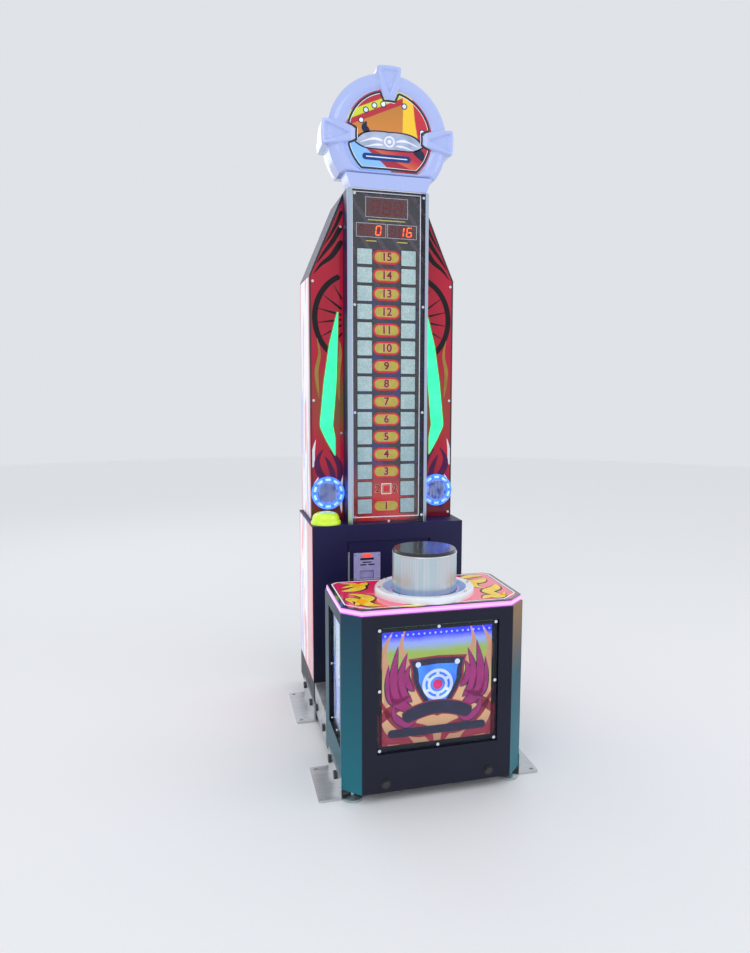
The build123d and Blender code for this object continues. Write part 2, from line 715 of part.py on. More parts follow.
side_skin = 1.0
skin_margin = 4.0
with BuildPart() as tower_side_panels:
    for side in (-1, 1):
        for half, front, low, high in ((body_half, tower_front, base_top, ledge_top),
                                       (wing_half, wing_plane, ledge_top, shoulder_z)):
            with BuildSketch(side_facing(side, half)):
                with Locations((side * (front + rear_plane) / 2, (low + high) / 2)):
                    Rectangle(rear_plane - front - 2 * skin_margin, high - low - 2 * skin_margin)
            extrude(amount=side_skin)
finish(tower_side_panels, "tower_side_panels")

trim_wide = 4.0


def wing_panel_points(side, inset):
    """One wing's art panel, between the column's side and the outer edge."""
    slope = (wing_half - column_side_half) / (column_top - shoulder_z)
    reach = inset * math.sqrt(1 + slope * slope)
    top = column_top - (trim_wide + reach) / slope
    return [(side * (column_side_half + play), ledge_top + play), (side * (wing_half - inset), ledge_top + play),
            (side * (wing_half - inset), shoulder_z - inset * slope),
            (side * (column_side_half + play), top)]


with BuildPart() as wing_art_panels:
    for side in (-1, 1):
        with BuildSketch(front_facing(wing_plane)):
            Polygon(*wing_panel_points(side, trim_wide + play), align=None)
            with Locations((side * speaker_x, speaker_z)):
                Circle(speaker_hole_r, mode=Mode.SUBTRACT)
            with Locations(*[(side * x, z) for x, z in wing_screws]):
                Circle(screw_r + running_gap, mode=Mode.SUBTRACT)
        extrude(amount=wing_panel_thick)
finish(wing_art_panels, "wing_art_panels")

with BuildPart() as wing_edge_trims:
    for side in (-1, 1):
        with BuildSketch(front_facing(wing_plane)):
            Polygon(*wing_panel_points(side, 0), align=None)
            Polygon(*wing_panel_points(side, trim_wide), align=None, mode=Mode.SUBTRACT)
            with Locations((side * speaker_x, speaker_z)):
                Circle(speaker_r + play, mode=Mode.SUBTRACT)
        extrude(amount=wing_panel_thick + 1)
finish(wing_edge_trims, "wing_edge_trims")

# ---------------------------------------------------------------- lamp column
panel_half = column_side_half - sheet - play
panel_thick = 3.0
display_big = (frame_half + 26.0, 60.0)
display_small = (frame_half - 14.0, 42.0)
display_big_z = column_top - 46.0
display_small_z = column_top - 115.0
display_small_x = (frame_half - 10.0) / 2
window_sink = 2.0
trim_leg = 16.0
trim_thick = 2.0
top_margin = 3.0


def display_places():
    """Centre and size of the three score displays."""
    return [((0.0, display_big_z), display_big), ((-display_small_x, display_small_z), display_small),
            ((display_small_x, display_small_z), display_small)]


def column_plan(inset, front):
    """Plan of the column: straight sides and a flat front, its corners cut at 45 degrees."""
    half = column_side_half - inset
    cut = column_cut - inset * cut_shrink
    return [(-half, wing_plane), (-half, front + cut), (-half + cut, front), (half - cut, front),
            (half, front + cut), (half, wing_plane)]


with BuildPart() as column_shell:
    with BuildSketch(Plane.XY.offset(ledge_top)):
        Polygon(*column_plan(0, column_front), align=None)
    extrude(amount=column_top - ledge_top)
    with BuildSketch(Plane.XY.offset(ledge_top + sheet)):
        with Locations((0, (column_front + wing_plane) / 2)):
            Rectangle(2 * (column_side_half - sheet), wing_plane - column_front)
    extrude(amount=column_top - ledge_top - 2 * sheet, mode=Mode.SUBTRACT)
    with BuildSketch(Plane.XY.offset(ledge_top)):
        with Locations((0, column_front + trim_leg / 2)):
            Rectangle(2 * column_side_half, trim_leg)
    extrude(amount=column_top - ledge_top, mode=Mode.SUBTRACT)
finish(column_shell, "column_shell")

with BuildPart() as column_corner_trims:
    for side in (-1, 1):
        with BuildSketch(Plane.XY.offset(ledge_top)):
            outer = [(column_face_half - trim_thick, column_front), (column_face_half, column_front),
                     (column_side_half, column_front + column_cut), (column_side_half, column_front + trim_leg),
                     (column_side_half - trim_thick, column_front + trim_leg),
                     (column_side_half - trim_thick, column_front + column_cut + trim_thick * cut_shrink / 2),
                     (column_face_half - trim_thick, column_front + trim_thick * 1.6)]
            Polygon(*[(side * x, y) for x, y in outer], align=None)
        extrude(amount=column_top - ledge_top)
finish(column_corner_trims, "column_corner_trims")

screw_low = ledge_top + 23.0
screw_high = column_top - 17.0
column_screws = [(i * frame_half, screw_low + (screw_high - screw_low) * j / 3)
                 for i in (-1, 1) for j in range(4)]
column_screws += [(0.0, ledge_top + 7.0)]
with BuildPart() as column_cover:
    with BuildSketch(front_facing(column_front)):
        with Locations((0, (ledge_top + column_top) / 2)):
            Rectangle(2 * (column_face_half - trim_thick - button_gap), column_top - ledge_top - top_margin)
        with Locations(*column_screws):
            Circle(screw_r + running_gap, mode=Mode.SUBTRACT)
    extrude(amount=-cover_thick)
finish(column_cover, "column_cover")

with BuildPart() as column_face_panel:
    with BuildSketch(front_facing(column_face_y)):
        with Locations((0, (ledge_top + column_top) / 2)):
            Rectangle(2 * panel_half, column_top - ledge_top - 2 * sheet - 2 * play)
        for (x, z), (wide, high) in display_places():
            with Locations((x, z)):
                Rectangle(wide, high, mode=Mode.SUBTRACT)
    extrude(amount=-panel_thick)
finish(column_face_panel, "column_face_panel")

tile_thick = 2.0
tile_round = 2.0
with BuildPart() as lamp_tiles:
    with BuildSketch(front_facing(column_face_y)):
        for row in range(row_count):
            for x in (-tile_x, tile_x):
                with Locations((x, row_one_z + row * row_pitch)):
                    RectangleRounded(tile_wide, tile_high, tile_round)
    extrude(amount=tile_thick)
finish(lamp_tiles, "lamp_tiles")

square_row = 1
square_size = 22.0
with BuildPart() as number_plates:
    with BuildSketch(front_facing(column_face_y)):
        for row in range(row_count):
            with Locations((0, row_one_z + row * row_pitch)):
                if row == square_row:
                    RectangleRounded(square_size, 1.15 * square_size, tile_round)
                else:
                    SlotOverall(pill_length, pill_height)
    extrude(amount=tile_thick)
finish(number_plates, "number_plates")

lens_gap = 0.3
module_depth = 18.0
with BuildPart() as score_displays:
    for place, (wide, high) in display_places():
        with BuildSketch(front_facing(column_face_y + window_sink - 1)):
            with Locations(place):
                Rectangle(wide - 2 * lens_gap, high - 2 * lens_gap)
        extrude(amount=-module_depth)
finish(score_displays, "score_displays")

board_thick = 1.6
board_margin = 20.0
led_size = 5.0
led_high = 2.0
topper_board = (200.0, 150.0)
topper_led_pitch = (60.0, 45.0)
topper_board_y = column_front + topper_depth - 40.0
strip_led = (4.0, 3.0)
strip_led_high = 1.2
strip_pitch = 20.0
strip_leds = 15
with BuildPart() as lamp_boards:
    board_y = column_face_y + panel_thick + 10
    with BuildSketch(front_facing(board_y)):
        with Locations((0, (row_one_z + display_small_z) / 2 - 2 * board_margin)):
            Rectangle(2 * frame_half - board_margin, display_small_z - row_one_z - board_margin)
    extrude(amount=-board_thick)
    with BuildSketch(front_facing(board_y)):
        for row in range(row_count):
            for x in (-tile_x, 0, tile_x):
                with Locations((x, row_one_z + row * row_pitch)):
                    Rectangle(led_size, led_size)
    extrude(amount=led_high)
    with BuildSketch(front_facing(topper_board_y)):
        with Locations((0, topper_z)):
            Rectangle(*topper_board)
    extrude(amount=-board_thick)
    with BuildSketch(front_facing(topper_board_y)):
        with Locations((0, topper_z)):
            with GridLocations(*topper_led_pitch, 3, 3):
                Rectangle(led_size, led_size)
    extrude(amount=led_high)
    strip_y = front_plane + 4
    with BuildSketch(Plane.XY.offset(window_z + window_high / 2 - board_thick)):
        with Locations((0, strip_y)):
            Rectangle(front_window_wide - 2 * lip, led_size)
    extrude(amount=board_thick)
    with BuildSketch(Plane.XY.offset(window_z + window_high / 2 - board_thick)):
        with Locations((0, strip_y)):
            with GridLocations(strip_pitch, 0, strip_leds, 1):
                Rectangle(*strip_led)
    extrude(amount=-strip_led_high)
finish(lamp_boards, "lamp_boards")

# ---------------------------------------------------------------- speakers
ring_inner_r = speaker_r - 17.6
ring_deep = 12.0
ring_flat = 12.0              # width of the ring's rounded outer part
speaker_screw_r = speaker_r - 7.6
grille_thick = 1.5
grille_pitch = 3.2
grille_hole_r = 1.9
speaker_back = wing_plane - wing_panel_thick
speaker_face = speaker_back - ring_deep
with BuildPart() as speaker_rings:
    for side in (-1, 1):
        with BuildSketch(Plane.XY.offset(speaker_z)):
            with BuildLine():
                centre = side * speaker_x
                Polyline((centre + ring_inner_r, speaker_back), (centre + speaker_r, speaker_back),
                         (centre + speaker_r, speaker_back - 3))
                ThreePointArc((centre + speaker_r, speaker_back - 3), (centre + speaker_r - 4.2, speaker_face + 3.2),
                              (centre + speaker_r - ring_flat, speaker_face))
                Polyline((centre + speaker_r - ring_flat, speaker_face), (centre + ring_inner_r, speaker_face + 3),
                         (centre + ring_inner_r, speaker_back))
            make_face()
        revolve(axis=Axis((side * speaker_x, 0, speaker_z), (0, 1, 0)))
    with BuildSketch(front_facing(speaker_face)):
        for side in (-1, 1):
            with Locations((side * speaker_x, speaker_z)):
                with PolarLocations(speaker_screw_r, 4, start_angle=45):
                    Circle(screw_r + running_gap)
    extrude(amount=-ring_deep, mode=Mode.SUBTRACT)
finish(speaker_rings, "speaker_rings")

with BuildPart() as speaker_grilles:
    for side in (-1, 1):
        with BuildSketch(front_facing(wing_plane - 6)):
            with Locations((side * speaker_x, speaker_z)):
                Circle(ring_inner_r - lens_gap)
                with HexLocations(grille_pitch, 9, 9):
                    Circle(grille_hole_r, mode=Mode.SUBTRACT)
        extrude(amount=-grille_thick)
finish(speaker_grilles, "speaker_grilles")

driver_deep = 46.0
with BuildPart() as speaker_drivers:
    for side in (-1, 1):
        with BuildSketch(Plane.XY.offset(speaker_z)):
            x = side * speaker_x
            Polygon((x, wing_plane + 18), (x + 12, wing_plane + 18), (x + 38, wing_plane + 3),
                    (x + speaker_hole_r - play, wing_plane + 2.5), (x + speaker_hole_r - play, wing_plane + 6),
                    (x + 24, wing_plane + 24), (x + 24, wing_plane + driver_deep), (x, wing_plane + driver_deep),
                    align=None)
        revolve(axis=Axis((side * speaker_x, 0, speaker_z), (0, 1, 0)))
finish(speaker_drivers, "speaker_drivers")

# ---------------------------------------------------------------- start button
bezel_r = 47.0
bezel_high = 11.0
dome_r = 43.0
dome_top = ledge_top + 38.0
button_travel = 5.0
button_axis = Axis((button_x, button_y, 0), (0, 0, 1))
with BuildPart() as start_button_bezel:
    with BuildSketch(Plane.XZ.offset(-button_y)):
        x = button_x
        with BuildLine():
            Polyline((x + dome_r + button_gap, ledge_top), (x + bezel_r, ledge_top), (x + bezel_r, ledge_top + 5))
            ThreePointArc((x + bezel_r, ledge_top + 5), (x + bezel_r - 1, ledge_top + 8.8),
                          (x + dome_r + button_gap + 1, ledge_top + bezel_high))
            Polyline((x + dome_r + button_gap + 1, ledge_top + bezel_high),
                     (x + dome_r + button_gap, ledge_top + bezel_high), (x + dome_r + button_gap, ledge_top))
        make_face()
    revolve(axis=button_axis)
finish(start_button_bezel, "start_button_bezel")

with BuildPart() as start_button:
    with BuildSketch(Plane.XZ.offset(-button_y)):
        x = button_x
        low = ledge_top + button_travel + play
        with BuildLine():
            Polyline((x + dome_r, low), (x + button_stem_r, low), (x + button_stem_r, ledge_top - 30),
                     (x, ledge_top - 30), (x, dome_top))
            FilletPolyline((x, dome_top), (x + 30, dome_top - 1.5), (x + dome_r - 3, dome_top - 14),
                           (x + dome_r, ledge_top + bezel_high + 2), (x + dome_r, low), radius=8)
        make_face()
    revolve(axis=button_axis)
finish(start_button, "start_button")

# ---------------------------------------------------------------- hinges
knuckle_r = 3.6
pin_r = 2.0
hinge_leaf_thick = 1.5
axial_gap = 0.4
coin_pin = (-door_wide / 2 + 5.6, tower_front + 4.2)
rear_pin = (rear_door_wide / 2 + rear_door_lap + 4.6, rear_plane + 5.0)
coin_hinge_half = door_high / 2 - 35.0
rear_hinge_half = rear_door_high / 2 - 30.0
coin_hinge_span = (door_z - coin_hinge_half, door_z + coin_hinge_half)
rear_hinge_span = (rear_door_z - rear_hinge_half, rear_door_z + rear_hinge_half)


def knuckle_spans(span, moving):
    """The stretches of one hinge's knuckles: two end thirds stay with the cabinet, the middle one moves."""
    low, high = span
    third = (high - low) / 3
    if moving:
        return [(low + third + axial_gap, high - third - axial_gap)]
    return [(low, low + third), (high - third, high)]


door_face = tower_front + door_recess - sheet - sheet
with BuildPart() as door_hinges:
    for (x, y), span, leaf_x, leaf_y in (
            (coin_pin, coin_hinge_span, -door_wide / 2, coin_pin[1] + knuckle_r - hinge_leaf_thick),
            (rear_pin, rear_hinge_span, rear_pin[0] + 16, rear_plane)):
        for low, high in knuckle_spans(span, False):
            with BuildSketch(Plane.XY.offset(low)):
                with Locations((x, y)):
                    Circle(knuckle_r)
                left = min(x, leaf_x)
                with Locations((left + abs(leaf_x - x) / 2, leaf_y + hinge_leaf_thick / 2)):
                    Rectangle(abs(leaf_x - x), hinge_leaf_thick)
                if y > rear_plane:
                    with Locations((x + knuckle_r / 2, (rear_plane + y) / 2)):
                        Rectangle(knuckle_r, y - rear_plane)
            extrude(amount=high - low)
        with BuildSketch(Plane.XY.offset(span[0])):
            with Locations((x, y)):
                Circle(pin_r)
        extrude(amount=span[1] - span[0])
finish(door_hinges, "door_hinges")

# ---------------------------------------------------------------- coin door
door_gap = 1.5
lock_x = door_wide / 2 - 24.0
lock_boss = 4.0
lock_r = 8.0
lock_deep = 12.0
key_slot = (1.6, 7.0)
key_deep = 8.0
plate_x = 65.0 - door_wide / 2
plate_z = door_z + 81.0
plate_size = (86.0, 88.0)
plate_thick_steel = 3.0
reject_size = (28.0, 10.5)
reject_z = plate_z + 35.0
slot_z = plate_z + 13.0
slot_size = (30.0, 4.0)
cup_size = (44.0, 26.0)
cup_z = plate_z - 26.0
cup_deep = 30.0
door_left = coin_pin[0]
door_right = door_wide / 2 - door_gap
with BuildPart() as coin_door:
    with BuildSketch(front_facing(door_face)):
        with Locations(((door_left + door_right) / 2, door_z)):
            Rectangle(door_right - door_left, door_high - 2 * door_gap)
        with Locations((plate_x, cup_z)):
            Rectangle(cup_size[0] + 6, cup_size[1] + 6, mode=Mode.SUBTRACT)
        with Locations((plate_x, (reject_z + slot_z) / 2)):
            Rectangle(cup_size[0] - 8, reject_z - slot_z + 2 * reject_size[1], mode=Mode.SUBTRACT)
        with Locations((lock_x, door_z)):
            Circle(lock_r + running_gap, mode=Mode.SUBTRACT)
    extrude(amount=-sheet)
    with BuildSketch(front_facing(door_face)):
        with Locations((lock_x, door_z)):
            Circle(lock_r + lock_boss)
            Circle(lock_r + running_gap, mode=Mode.SUBTRACT)
    extrude(amount=2)
    with BuildSketch(front_facing(door_face + sheet)):
        with Locations((lock_x, door_z)):
            Circle(lock_r + lock_boss)
            Circle(lock_r + running_gap, mode=Mode.SUBTRACT)
    extrude(amount=-lock_deep)
finish(coin_door, "coin_door")

with BuildPart() as coin_door_leaf:
    for low, high in knuckle_spans(coin_hinge_span, True):
        with BuildSketch(Plane.XY.offset(low)):
            with Locations(coin_pin):
                Circle(knuckle_r)
            with Locations((coin_pin[0] + 7, door_face - hinge_leaf_thick / 2)):
                Rectangle(14, hinge_leaf_thick)
            with Locations((coin_pin[0] + knuckle_r / 2, (coin_pin[1] + door_face) / 2)):
                Rectangle(knuckle_r, door_face - coin_pin[1])
            with Locations(coin_pin):
                Circle(pin_r + running_gap, mode=Mode.SUBTRACT)
        extrude(amount=high - low)
finish(coin_door_leaf, "coin_door_leaf")

flap_thick = 1.5
plate_screws = [(plate_x + i * 37, plate_z + j * 38) for i in (-1, 1) for j in (-1, 1)]
with BuildPart() as coin_plate:
    with BuildSketch(front_facing(door_face)):
        with Locations((plate_x, plate_z)):
            RectangleRounded(*plate_size, 2)
        with Locations((plate_x, reject_z)):
            Rectangle(*reject_size, mode=Mode.SUBTRACT)
        with Locations((plate_x, slot_z)):
            Rectangle(*slot_size, mode=Mode.SUBTRACT)
        with Locations((plate_x, cup_z)):
            Rectangle(*cup_size, mode=Mode.SUBTRACT)
        with Locations(*plate_screws):
            Circle(screw_r + running_gap, mode=Mode.SUBTRACT)
    extrude(amount=plate_thick_steel)
    with BuildSketch(front_facing(door_face)):
        with Locations((plate_x, cup_z)):
            Rectangle(cup_size[0] + 4, cup_size[1] + 4)
            Rectangle(*cup_size, mode=Mode.SUBTRACT)
    extrude(amount=-cup_deep)
    with BuildSketch(front_facing(door_face + cup_deep)):
        with Locations((plate_x, cup_z)):
            Rectangle(cup_size[0] + 4, cup_size[1] + 4)
    extrude(amount=-sheet)
finish(coin_plate, "coin_plate")

reject_travel = 3.0
with BuildPart() as reject_button:
    with BuildSketch(front_facing(door_face - plate_thick_steel - reject_travel - 1)):
        with Locations((plate_x, reject_z)):
            RectangleRounded(reject_size[0] - 2 * lens_gap, reject_size[1] - 2 * lens_gap, 3)
    extrude(amount=-plate_thick_steel - reject_travel - 7)
finish(reject_button, "reject_button")

flap_pin_r = 1.2
flap_y = door_face + 3.0
flap_pin_z = cup_z + cup_size[1] / 2 - 2.4
with BuildPart() as return_flap:
    with BuildSketch(front_facing(flap_y - flap_thick / 2)):
        with Locations((plate_x, (flap_pin_z + cup_z - cup_size[1] / 2 + 1) / 2)):
            Rectangle(cup_size[0] - 2, flap_pin_z - cup_z + cup_size[1] / 2 - 1)
    extrude(amount=-flap_thick)
    with BuildSketch(Plane(origin=(plate_x, flap_y, flap_pin_z), x_dir=(0, 1, 0), z_dir=(1, 0, 0))):
        Circle(flap_pin_r)
    extrude(amount=cup_size[0] / 2 - 0.2, both=True)
finish(return_flap, "return_flap")

acceptor_front = door_face + sheet
acceptor_z = slot_z + 22
acceptor_high = 76.0
acceptor_wide = 54.0
acceptor_deep = 52.0
acceptor_set = 8.0
acceptor_leg = 5.0
with BuildPart() as coin_acceptor:
    with BuildSketch(front_facing(acceptor_front + acceptor_set)):
        with Locations((plate_x, acceptor_z)):
            Rectangle(acceptor_wide, acceptor_high)
        with Locations((plate_x, slot_z)):
            Rectangle(slot_size[0] + 2, slot_size[1] + 2, mode=Mode.SUBTRACT)
    extrude(amount=-acceptor_deep)
    with BuildSketch(front_facing(acceptor_front)):
        with Locations((plate_x - acceptor_wide / 2 + 3, acceptor_z),
                       (plate_x + acceptor_wide / 2 - 3, acceptor_z)):
            Rectangle(acceptor_leg, acceptor_high)
    extrude(amount=-acceptor_set)
finish(coin_acceptor, "coin_acceptor")

cam_length = 26.0
cam_wide = 11.0
cam_thick = 2.0
lock_proud = 3.0
with BuildPart() as coin_door_lock:
    with BuildSketch(front_facing(door_face - lock_proud)):
        with Locations((lock_x, door_z)):
            Circle(lock_r)
    extrude(amount=-lock_proud - sheet - lock_deep)
    with BuildSketch(front_facing(door_face - lock_proud)):
        with Locations((lock_x, door_z)):
            Rectangle(*key_slot)
    extrude(amount=-key_deep, mode=Mode.SUBTRACT)
    with BuildSketch(front_facing(door_face + sheet + lock_deep)):
        with Locations((lock_x, door_z - cam_length / 2 + lock_r / 2)):
            RectangleRounded(cam_wide, cam_length, lock_boss)
    extrude(amount=-cam_thick)
finish(coin_door_lock, "coin_door_lock")

cash_place = (-20.0, (tower_front + rear_plane) / 2 - 33.5)
cash_size = (210.0, 180.0)
cash_high = 90.0
with BuildPart() as cash_box:
    with BuildSketch(Plane.XY.offset(base_top + play)):
        with Locations(cash_place):
            Rectangle(*cash_size)
    extrude(amount=cash_high)
    with BuildSketch(Plane.XY.offset(base_top + play + sheet)):
        with Locations(cash_place):
            Rectangle(cash_size[0] - 2 * sheet, cash_size[1] - 2 * sheet)
    extrude(amount=cash_high, mode=Mode.SUBTRACT)
finish(cash_box, "cash_box")

# ---------------------------------------------------------------- rear door and power entry
rear_lock_x = 22.0 - rear_door_wide / 2
rear_lock_proud = 10.0
rear_cam = (12.0, 54.0)
rear_vent_rise = 120.0
with BuildPart() as rear_door:
    with BuildSketch(front_facing(rear_plane + sheet)):
        with Locations((0, rear_door_z)):
            Rectangle(rear_door_wide + 2 * rear_door_lap, rear_door_high + 2 * rear_door_lap)
        with Locations((rear_lock_x, rear_door_z)):
            Circle(lock_r + running_gap, mode=Mode.SUBTRACT)
        with Locations((0, rear_door_z + rear_vent_rise)):
            with GridLocations(0, vent_pitch, 1, vent_rows):
                SlotOverall(*vent_slot, mode=Mode.SUBTRACT)
    extrude(amount=sheet)
    with BuildSketch(front_facing(rear_plane)):
        with Locations((rear_lock_x, rear_door_z)):
            Circle(lock_r + lock_boss)
            Circle(lock_r + running_gap, mode=Mode.SUBTRACT)
    extrude(amount=lock_deep)
finish(rear_door, "rear_door")

with BuildPart() as rear_door_leaf:
    for low, high in knuckle_spans(rear_hinge_span, True):
        with BuildSketch(Plane.XY.offset(low)):
            with Locations(rear_pin):
                Circle(knuckle_r)
            with Locations((rear_pin[0] - 12, rear_plane + sheet + hinge_leaf_thick / 2)):
                Rectangle(24, hinge_leaf_thick)
            with Locations(rear_pin):
                Circle(pin_r + running_gap, mode=Mode.SUBTRACT)
        extrude(amount=high - low)
finish(rear_door_leaf, "rear_door_leaf")

with BuildPart() as rear_door_lock:
    with BuildSketch(front_facing(rear_plane + rear_lock_proud)):
        with Locations((rear_lock_x, rear_door_z)):
            Circle(lock_r)
    extrude(amount=rear_lock_proud + lock_deep)
    with BuildSketch(front_facing(rear_plane + rear_lock_proud)):
        with Locations((rear_lock_x, rear_door_z)):
            Rectangle(*key_slot)
    extrude(amount=key_deep, mode=Mode.SUBTRACT)
    with BuildSketch(front_facing(rear_plane - lock_deep)):
        with Locations((rear_lock_x, rear_door_z - 2 * rear_lock_proud)):
            RectangleRounded(*rear_cam, lock_boss)
    extrude(amount=cam_thick)
finish(rear_door_lock, "rear_door_lock")

socket_x = inlet_x - 11.0
socket_size = (27.0, 18.0)
switch_x = inlet_x + 18.0
switch_size = (19.0, 13.0)
inlet_rim = 3.0
inlet_deep = 28.0
socket_deep = 20.0
contact = (2.0, 4.0)
contact_long = 9.0
contact_spread = 7.0
contact_rise = 3.0
switch_deep = 18.0
with BuildPart() as power_inlet:
    with BuildSketch(front_facing(rear_plane + inlet_rim)):
        with Locations((inlet_x, inlet_z)):
            RectangleRounded(inlet_wide + 12, inlet_high + 8, inlet_rim)
    extrude(amount=inlet_rim)
    with BuildSketch(front_facing(rear_plane)):
        with Locations((inlet_x, inlet_z)):
            Rectangle(inlet_wide - 2 * play, inlet_high - 2 * play)
    extrude(amount=inlet_deep)
    with BuildSketch(front_facing(rear_plane + inlet_rim)):
        with Locations((socket_x, inlet_z)):
            Rectangle(*socket_size)
    extrude(amount=socket_deep, mode=Mode.SUBTRACT)
    with BuildSketch(front_facing(rear_plane + inlet_rim - socket_deep)):
        with Locations((socket_x, inlet_z + contact_rise),
                       (socket_x - contact_spread, inlet_z - contact_rise),
                       (socket_x + contact_spread, inlet_z - contact_rise)):
            Rectangle(*contact)
    extrude(amount=-contact_long)
    with BuildSketch(front_facing(rear_plane + inlet_rim)):
        with Locations((switch_x, inlet_z)):
            Rectangle(*switch_size)
    extrude(amount=switch_deep, mode=Mode.SUBTRACT)
finish(power_inlet, "power_inlet")

rocker_tilt = 10.0
rocker_half = switch_size[0] / 2 - 1.0
with BuildPart() as power_switch:
    with BuildSketch(Plane.XY.offset(inlet_z - switch_size[1] / 2 + 1)):
        with Locations((switch_x, rear_plane - 1)):
            with Locations(Rotation(0, 0, rocker_tilt)):
                Polygon((-rocker_half, 5), (rocker_half, 5), (rocker_half - 2, -5), (-rocker_half + 2, -5),
                        align=None)
    extrude(amount=switch_size[1] - 2)
finish(power_switch, "power_switch")

supply_place = (165.0, 300.0)
supply_size = (100.0, 200.0)
supply_high = 42.0
supply_slot = (120.0, 6.0)
with BuildPart() as power_supply:
    with BuildSketch(Plane.XY.offset(base_top + play)):
        with Locations(supply_place):
            Rectangle(*supply_size)
    extrude(amount=supply_high)
    with BuildSketch(Plane.XY.offset(base_top + play + supply_high)):
        with Locations(supply_place):
            with GridLocations(18, 0, 4, 1):
                SlotOverall(*supply_slot, rotation=90)
    extrude(amount=-3, mode=Mode.SUBTRACT)
finish(power_supply, "power_supply")

board_stand = 12.0            # stand-offs under the control board
board_place = (-300.0, 380.0)
board_size = (180.0, 150.0)
board_hole_pitch = (160.0, 130.0)
chip_high = 8.0
with BuildPart() as control_board:
    with BuildSketch(side_facing(-1, inner_half - board_stand)):
        with Locations(board_place):
            Rectangle(*board_size)
    extrude(amount=-board_thick)
    with BuildSketch(side_facing(-1, inner_half - board_stand)):
        with Locations(board_place):
            with GridLocations(*board_hole_pitch, 2, 2):
                Circle(board_stand / 4)
    extrude(amount=board_stand)
    with BuildSketch(side_facing(-1, inner_half - board_stand - board_thick)):
        with Locations(board_place):
            for (across, up), size in (((-30, 20), (30, 30)), ((30, -30), (14, 24)), ((0, -30), (14, 24)),
                                       ((-30, -30), (14, 24)), ((0, 60), (120, 10))):
                with Locations((across, up)):
                    Rectangle(*size)
    extrude(amount=-chip_high)
finish(control_board, "control_board")

# ---------------------------------------------------------------- topper
bump_half = 40.0
art_r = topper_r - 56.0
art_lap = 4.0
art_low = topper_low + 15.0
notch_half = 18.0
notch_r = topper_r - 82.0
neck_bottom_half = column_side_half - 10.0
neck_top_half = neck_bottom_half + 16.0
neck_setback = 2.0
bump_round = 8.0
topper_rear = column_front + topper_depth


def topper_outline(inset=0.0):
    """Draw the topper's outline in a sketch: a disc cut flat at the bottom, with three square bumps."""
    with Locations((0, topper_z)):
        Circle(topper_r - inset)
        with PolarLocations(topper_r + topper_bump - inset - bump_half, 3, start_angle=0, angular_range=270):
            RectangleRounded(2 * bump_half, 2 * (bump_half - inset), bump_round)
    with Locations((0, topper_low + inset - topper_r)):
        Rectangle(3 * topper_r, 2 * topper_r, mode=Mode.SUBTRACT)


def art_outline(grow=0.0):
    """Draw the art opening: a disc with a flat bottom and a notch behind each bump."""
    with Locations((0, topper_z)):
        Circle(art_r + grow)
        with PolarLocations(notch_r + art_r, 3, start_angle=0, angular_range=270):
            Rectangle(2 * art_r, 2 * (notch_half - grow), mode=Mode.SUBTRACT)
    with Locations((0, art_low - grow - art_r)):
        Rectangle(3 * art_r, 2 * art_r, mode=Mode.SUBTRACT)


with BuildPart() as topper_shell:
    for inset, depth in ((0.0, topper_depth - topper_bevel), (topper_bevel / 4, topper_depth - topper_bevel / 2),
                         (topper_bevel, topper_depth)):
        with BuildSketch(front_facing(topper_rear)):
            topper_outline(inset)
        extrude(amount=depth)
    with BuildSketch(front_facing(topper_rear)):
        topper_outline(topper_wall + topper_bevel)
    extrude(amount=topper_depth - topper_wall, mode=Mode.SUBTRACT)
    with BuildSketch(front_facing(topper_rear)):
        topper_outline(topper_wall)
    extrude(amount=topper_depth - topper_wall - topper_bevel, mode=Mode.SUBTRACT)
    with BuildSketch(front_facing(column_front)):
        art_outline()
    extrude(amount=-topper_wall, mode=Mode.SUBTRACT)
finish(topper_shell, "topper_shell")

topper_screws = [(i * (topper_r - 36.0), topper_z + rise) for i in (-1, 1) for rise in (90.0, -70.0)]
with BuildPart() as topper_back:
    with BuildSketch(front_facing(topper_rear)):
        topper_outline(topper_wall + button_gap)
        with Locations(*topper_screws):
            Circle(screw_r + running_gap, mode=Mode.SUBTRACT)
    extrude(amount=topper_wall)
finish(topper_back, "topper_back")

with BuildPart() as topper_art_panel:
    with BuildSketch(front_facing(column_front + topper_wall + art_gap)):
        art_outline(art_lap)
    extrude(amount=-art_thick)
finish(topper_art_panel, "topper_art_panel")

with BuildPart() as topper_neck:
    with BuildSketch(front_facing(wing_plane)):
        Polygon((-neck_bottom_half, column_top), (neck_bottom_half, column_top), (neck_top_half, topper_low),
                (-neck_top_half, topper_low), align=None)
    extrude(amount=wing_plane - column_front - neck_setback)
    with BuildSketch(front_facing(wing_plane)):
        Polygon((-neck_bottom_half + topper_wall, column_top), (neck_bottom_half - topper_wall, column_top),
                (neck_top_half - topper_wall, topper_low), (-neck_top_half + topper_wall, topper_low),
                align=None)
    extrude(amount=wing_plane - column_front - neck_setback - topper_wall, mode=Mode.SUBTRACT)
finish(topper_neck, "topper_neck")

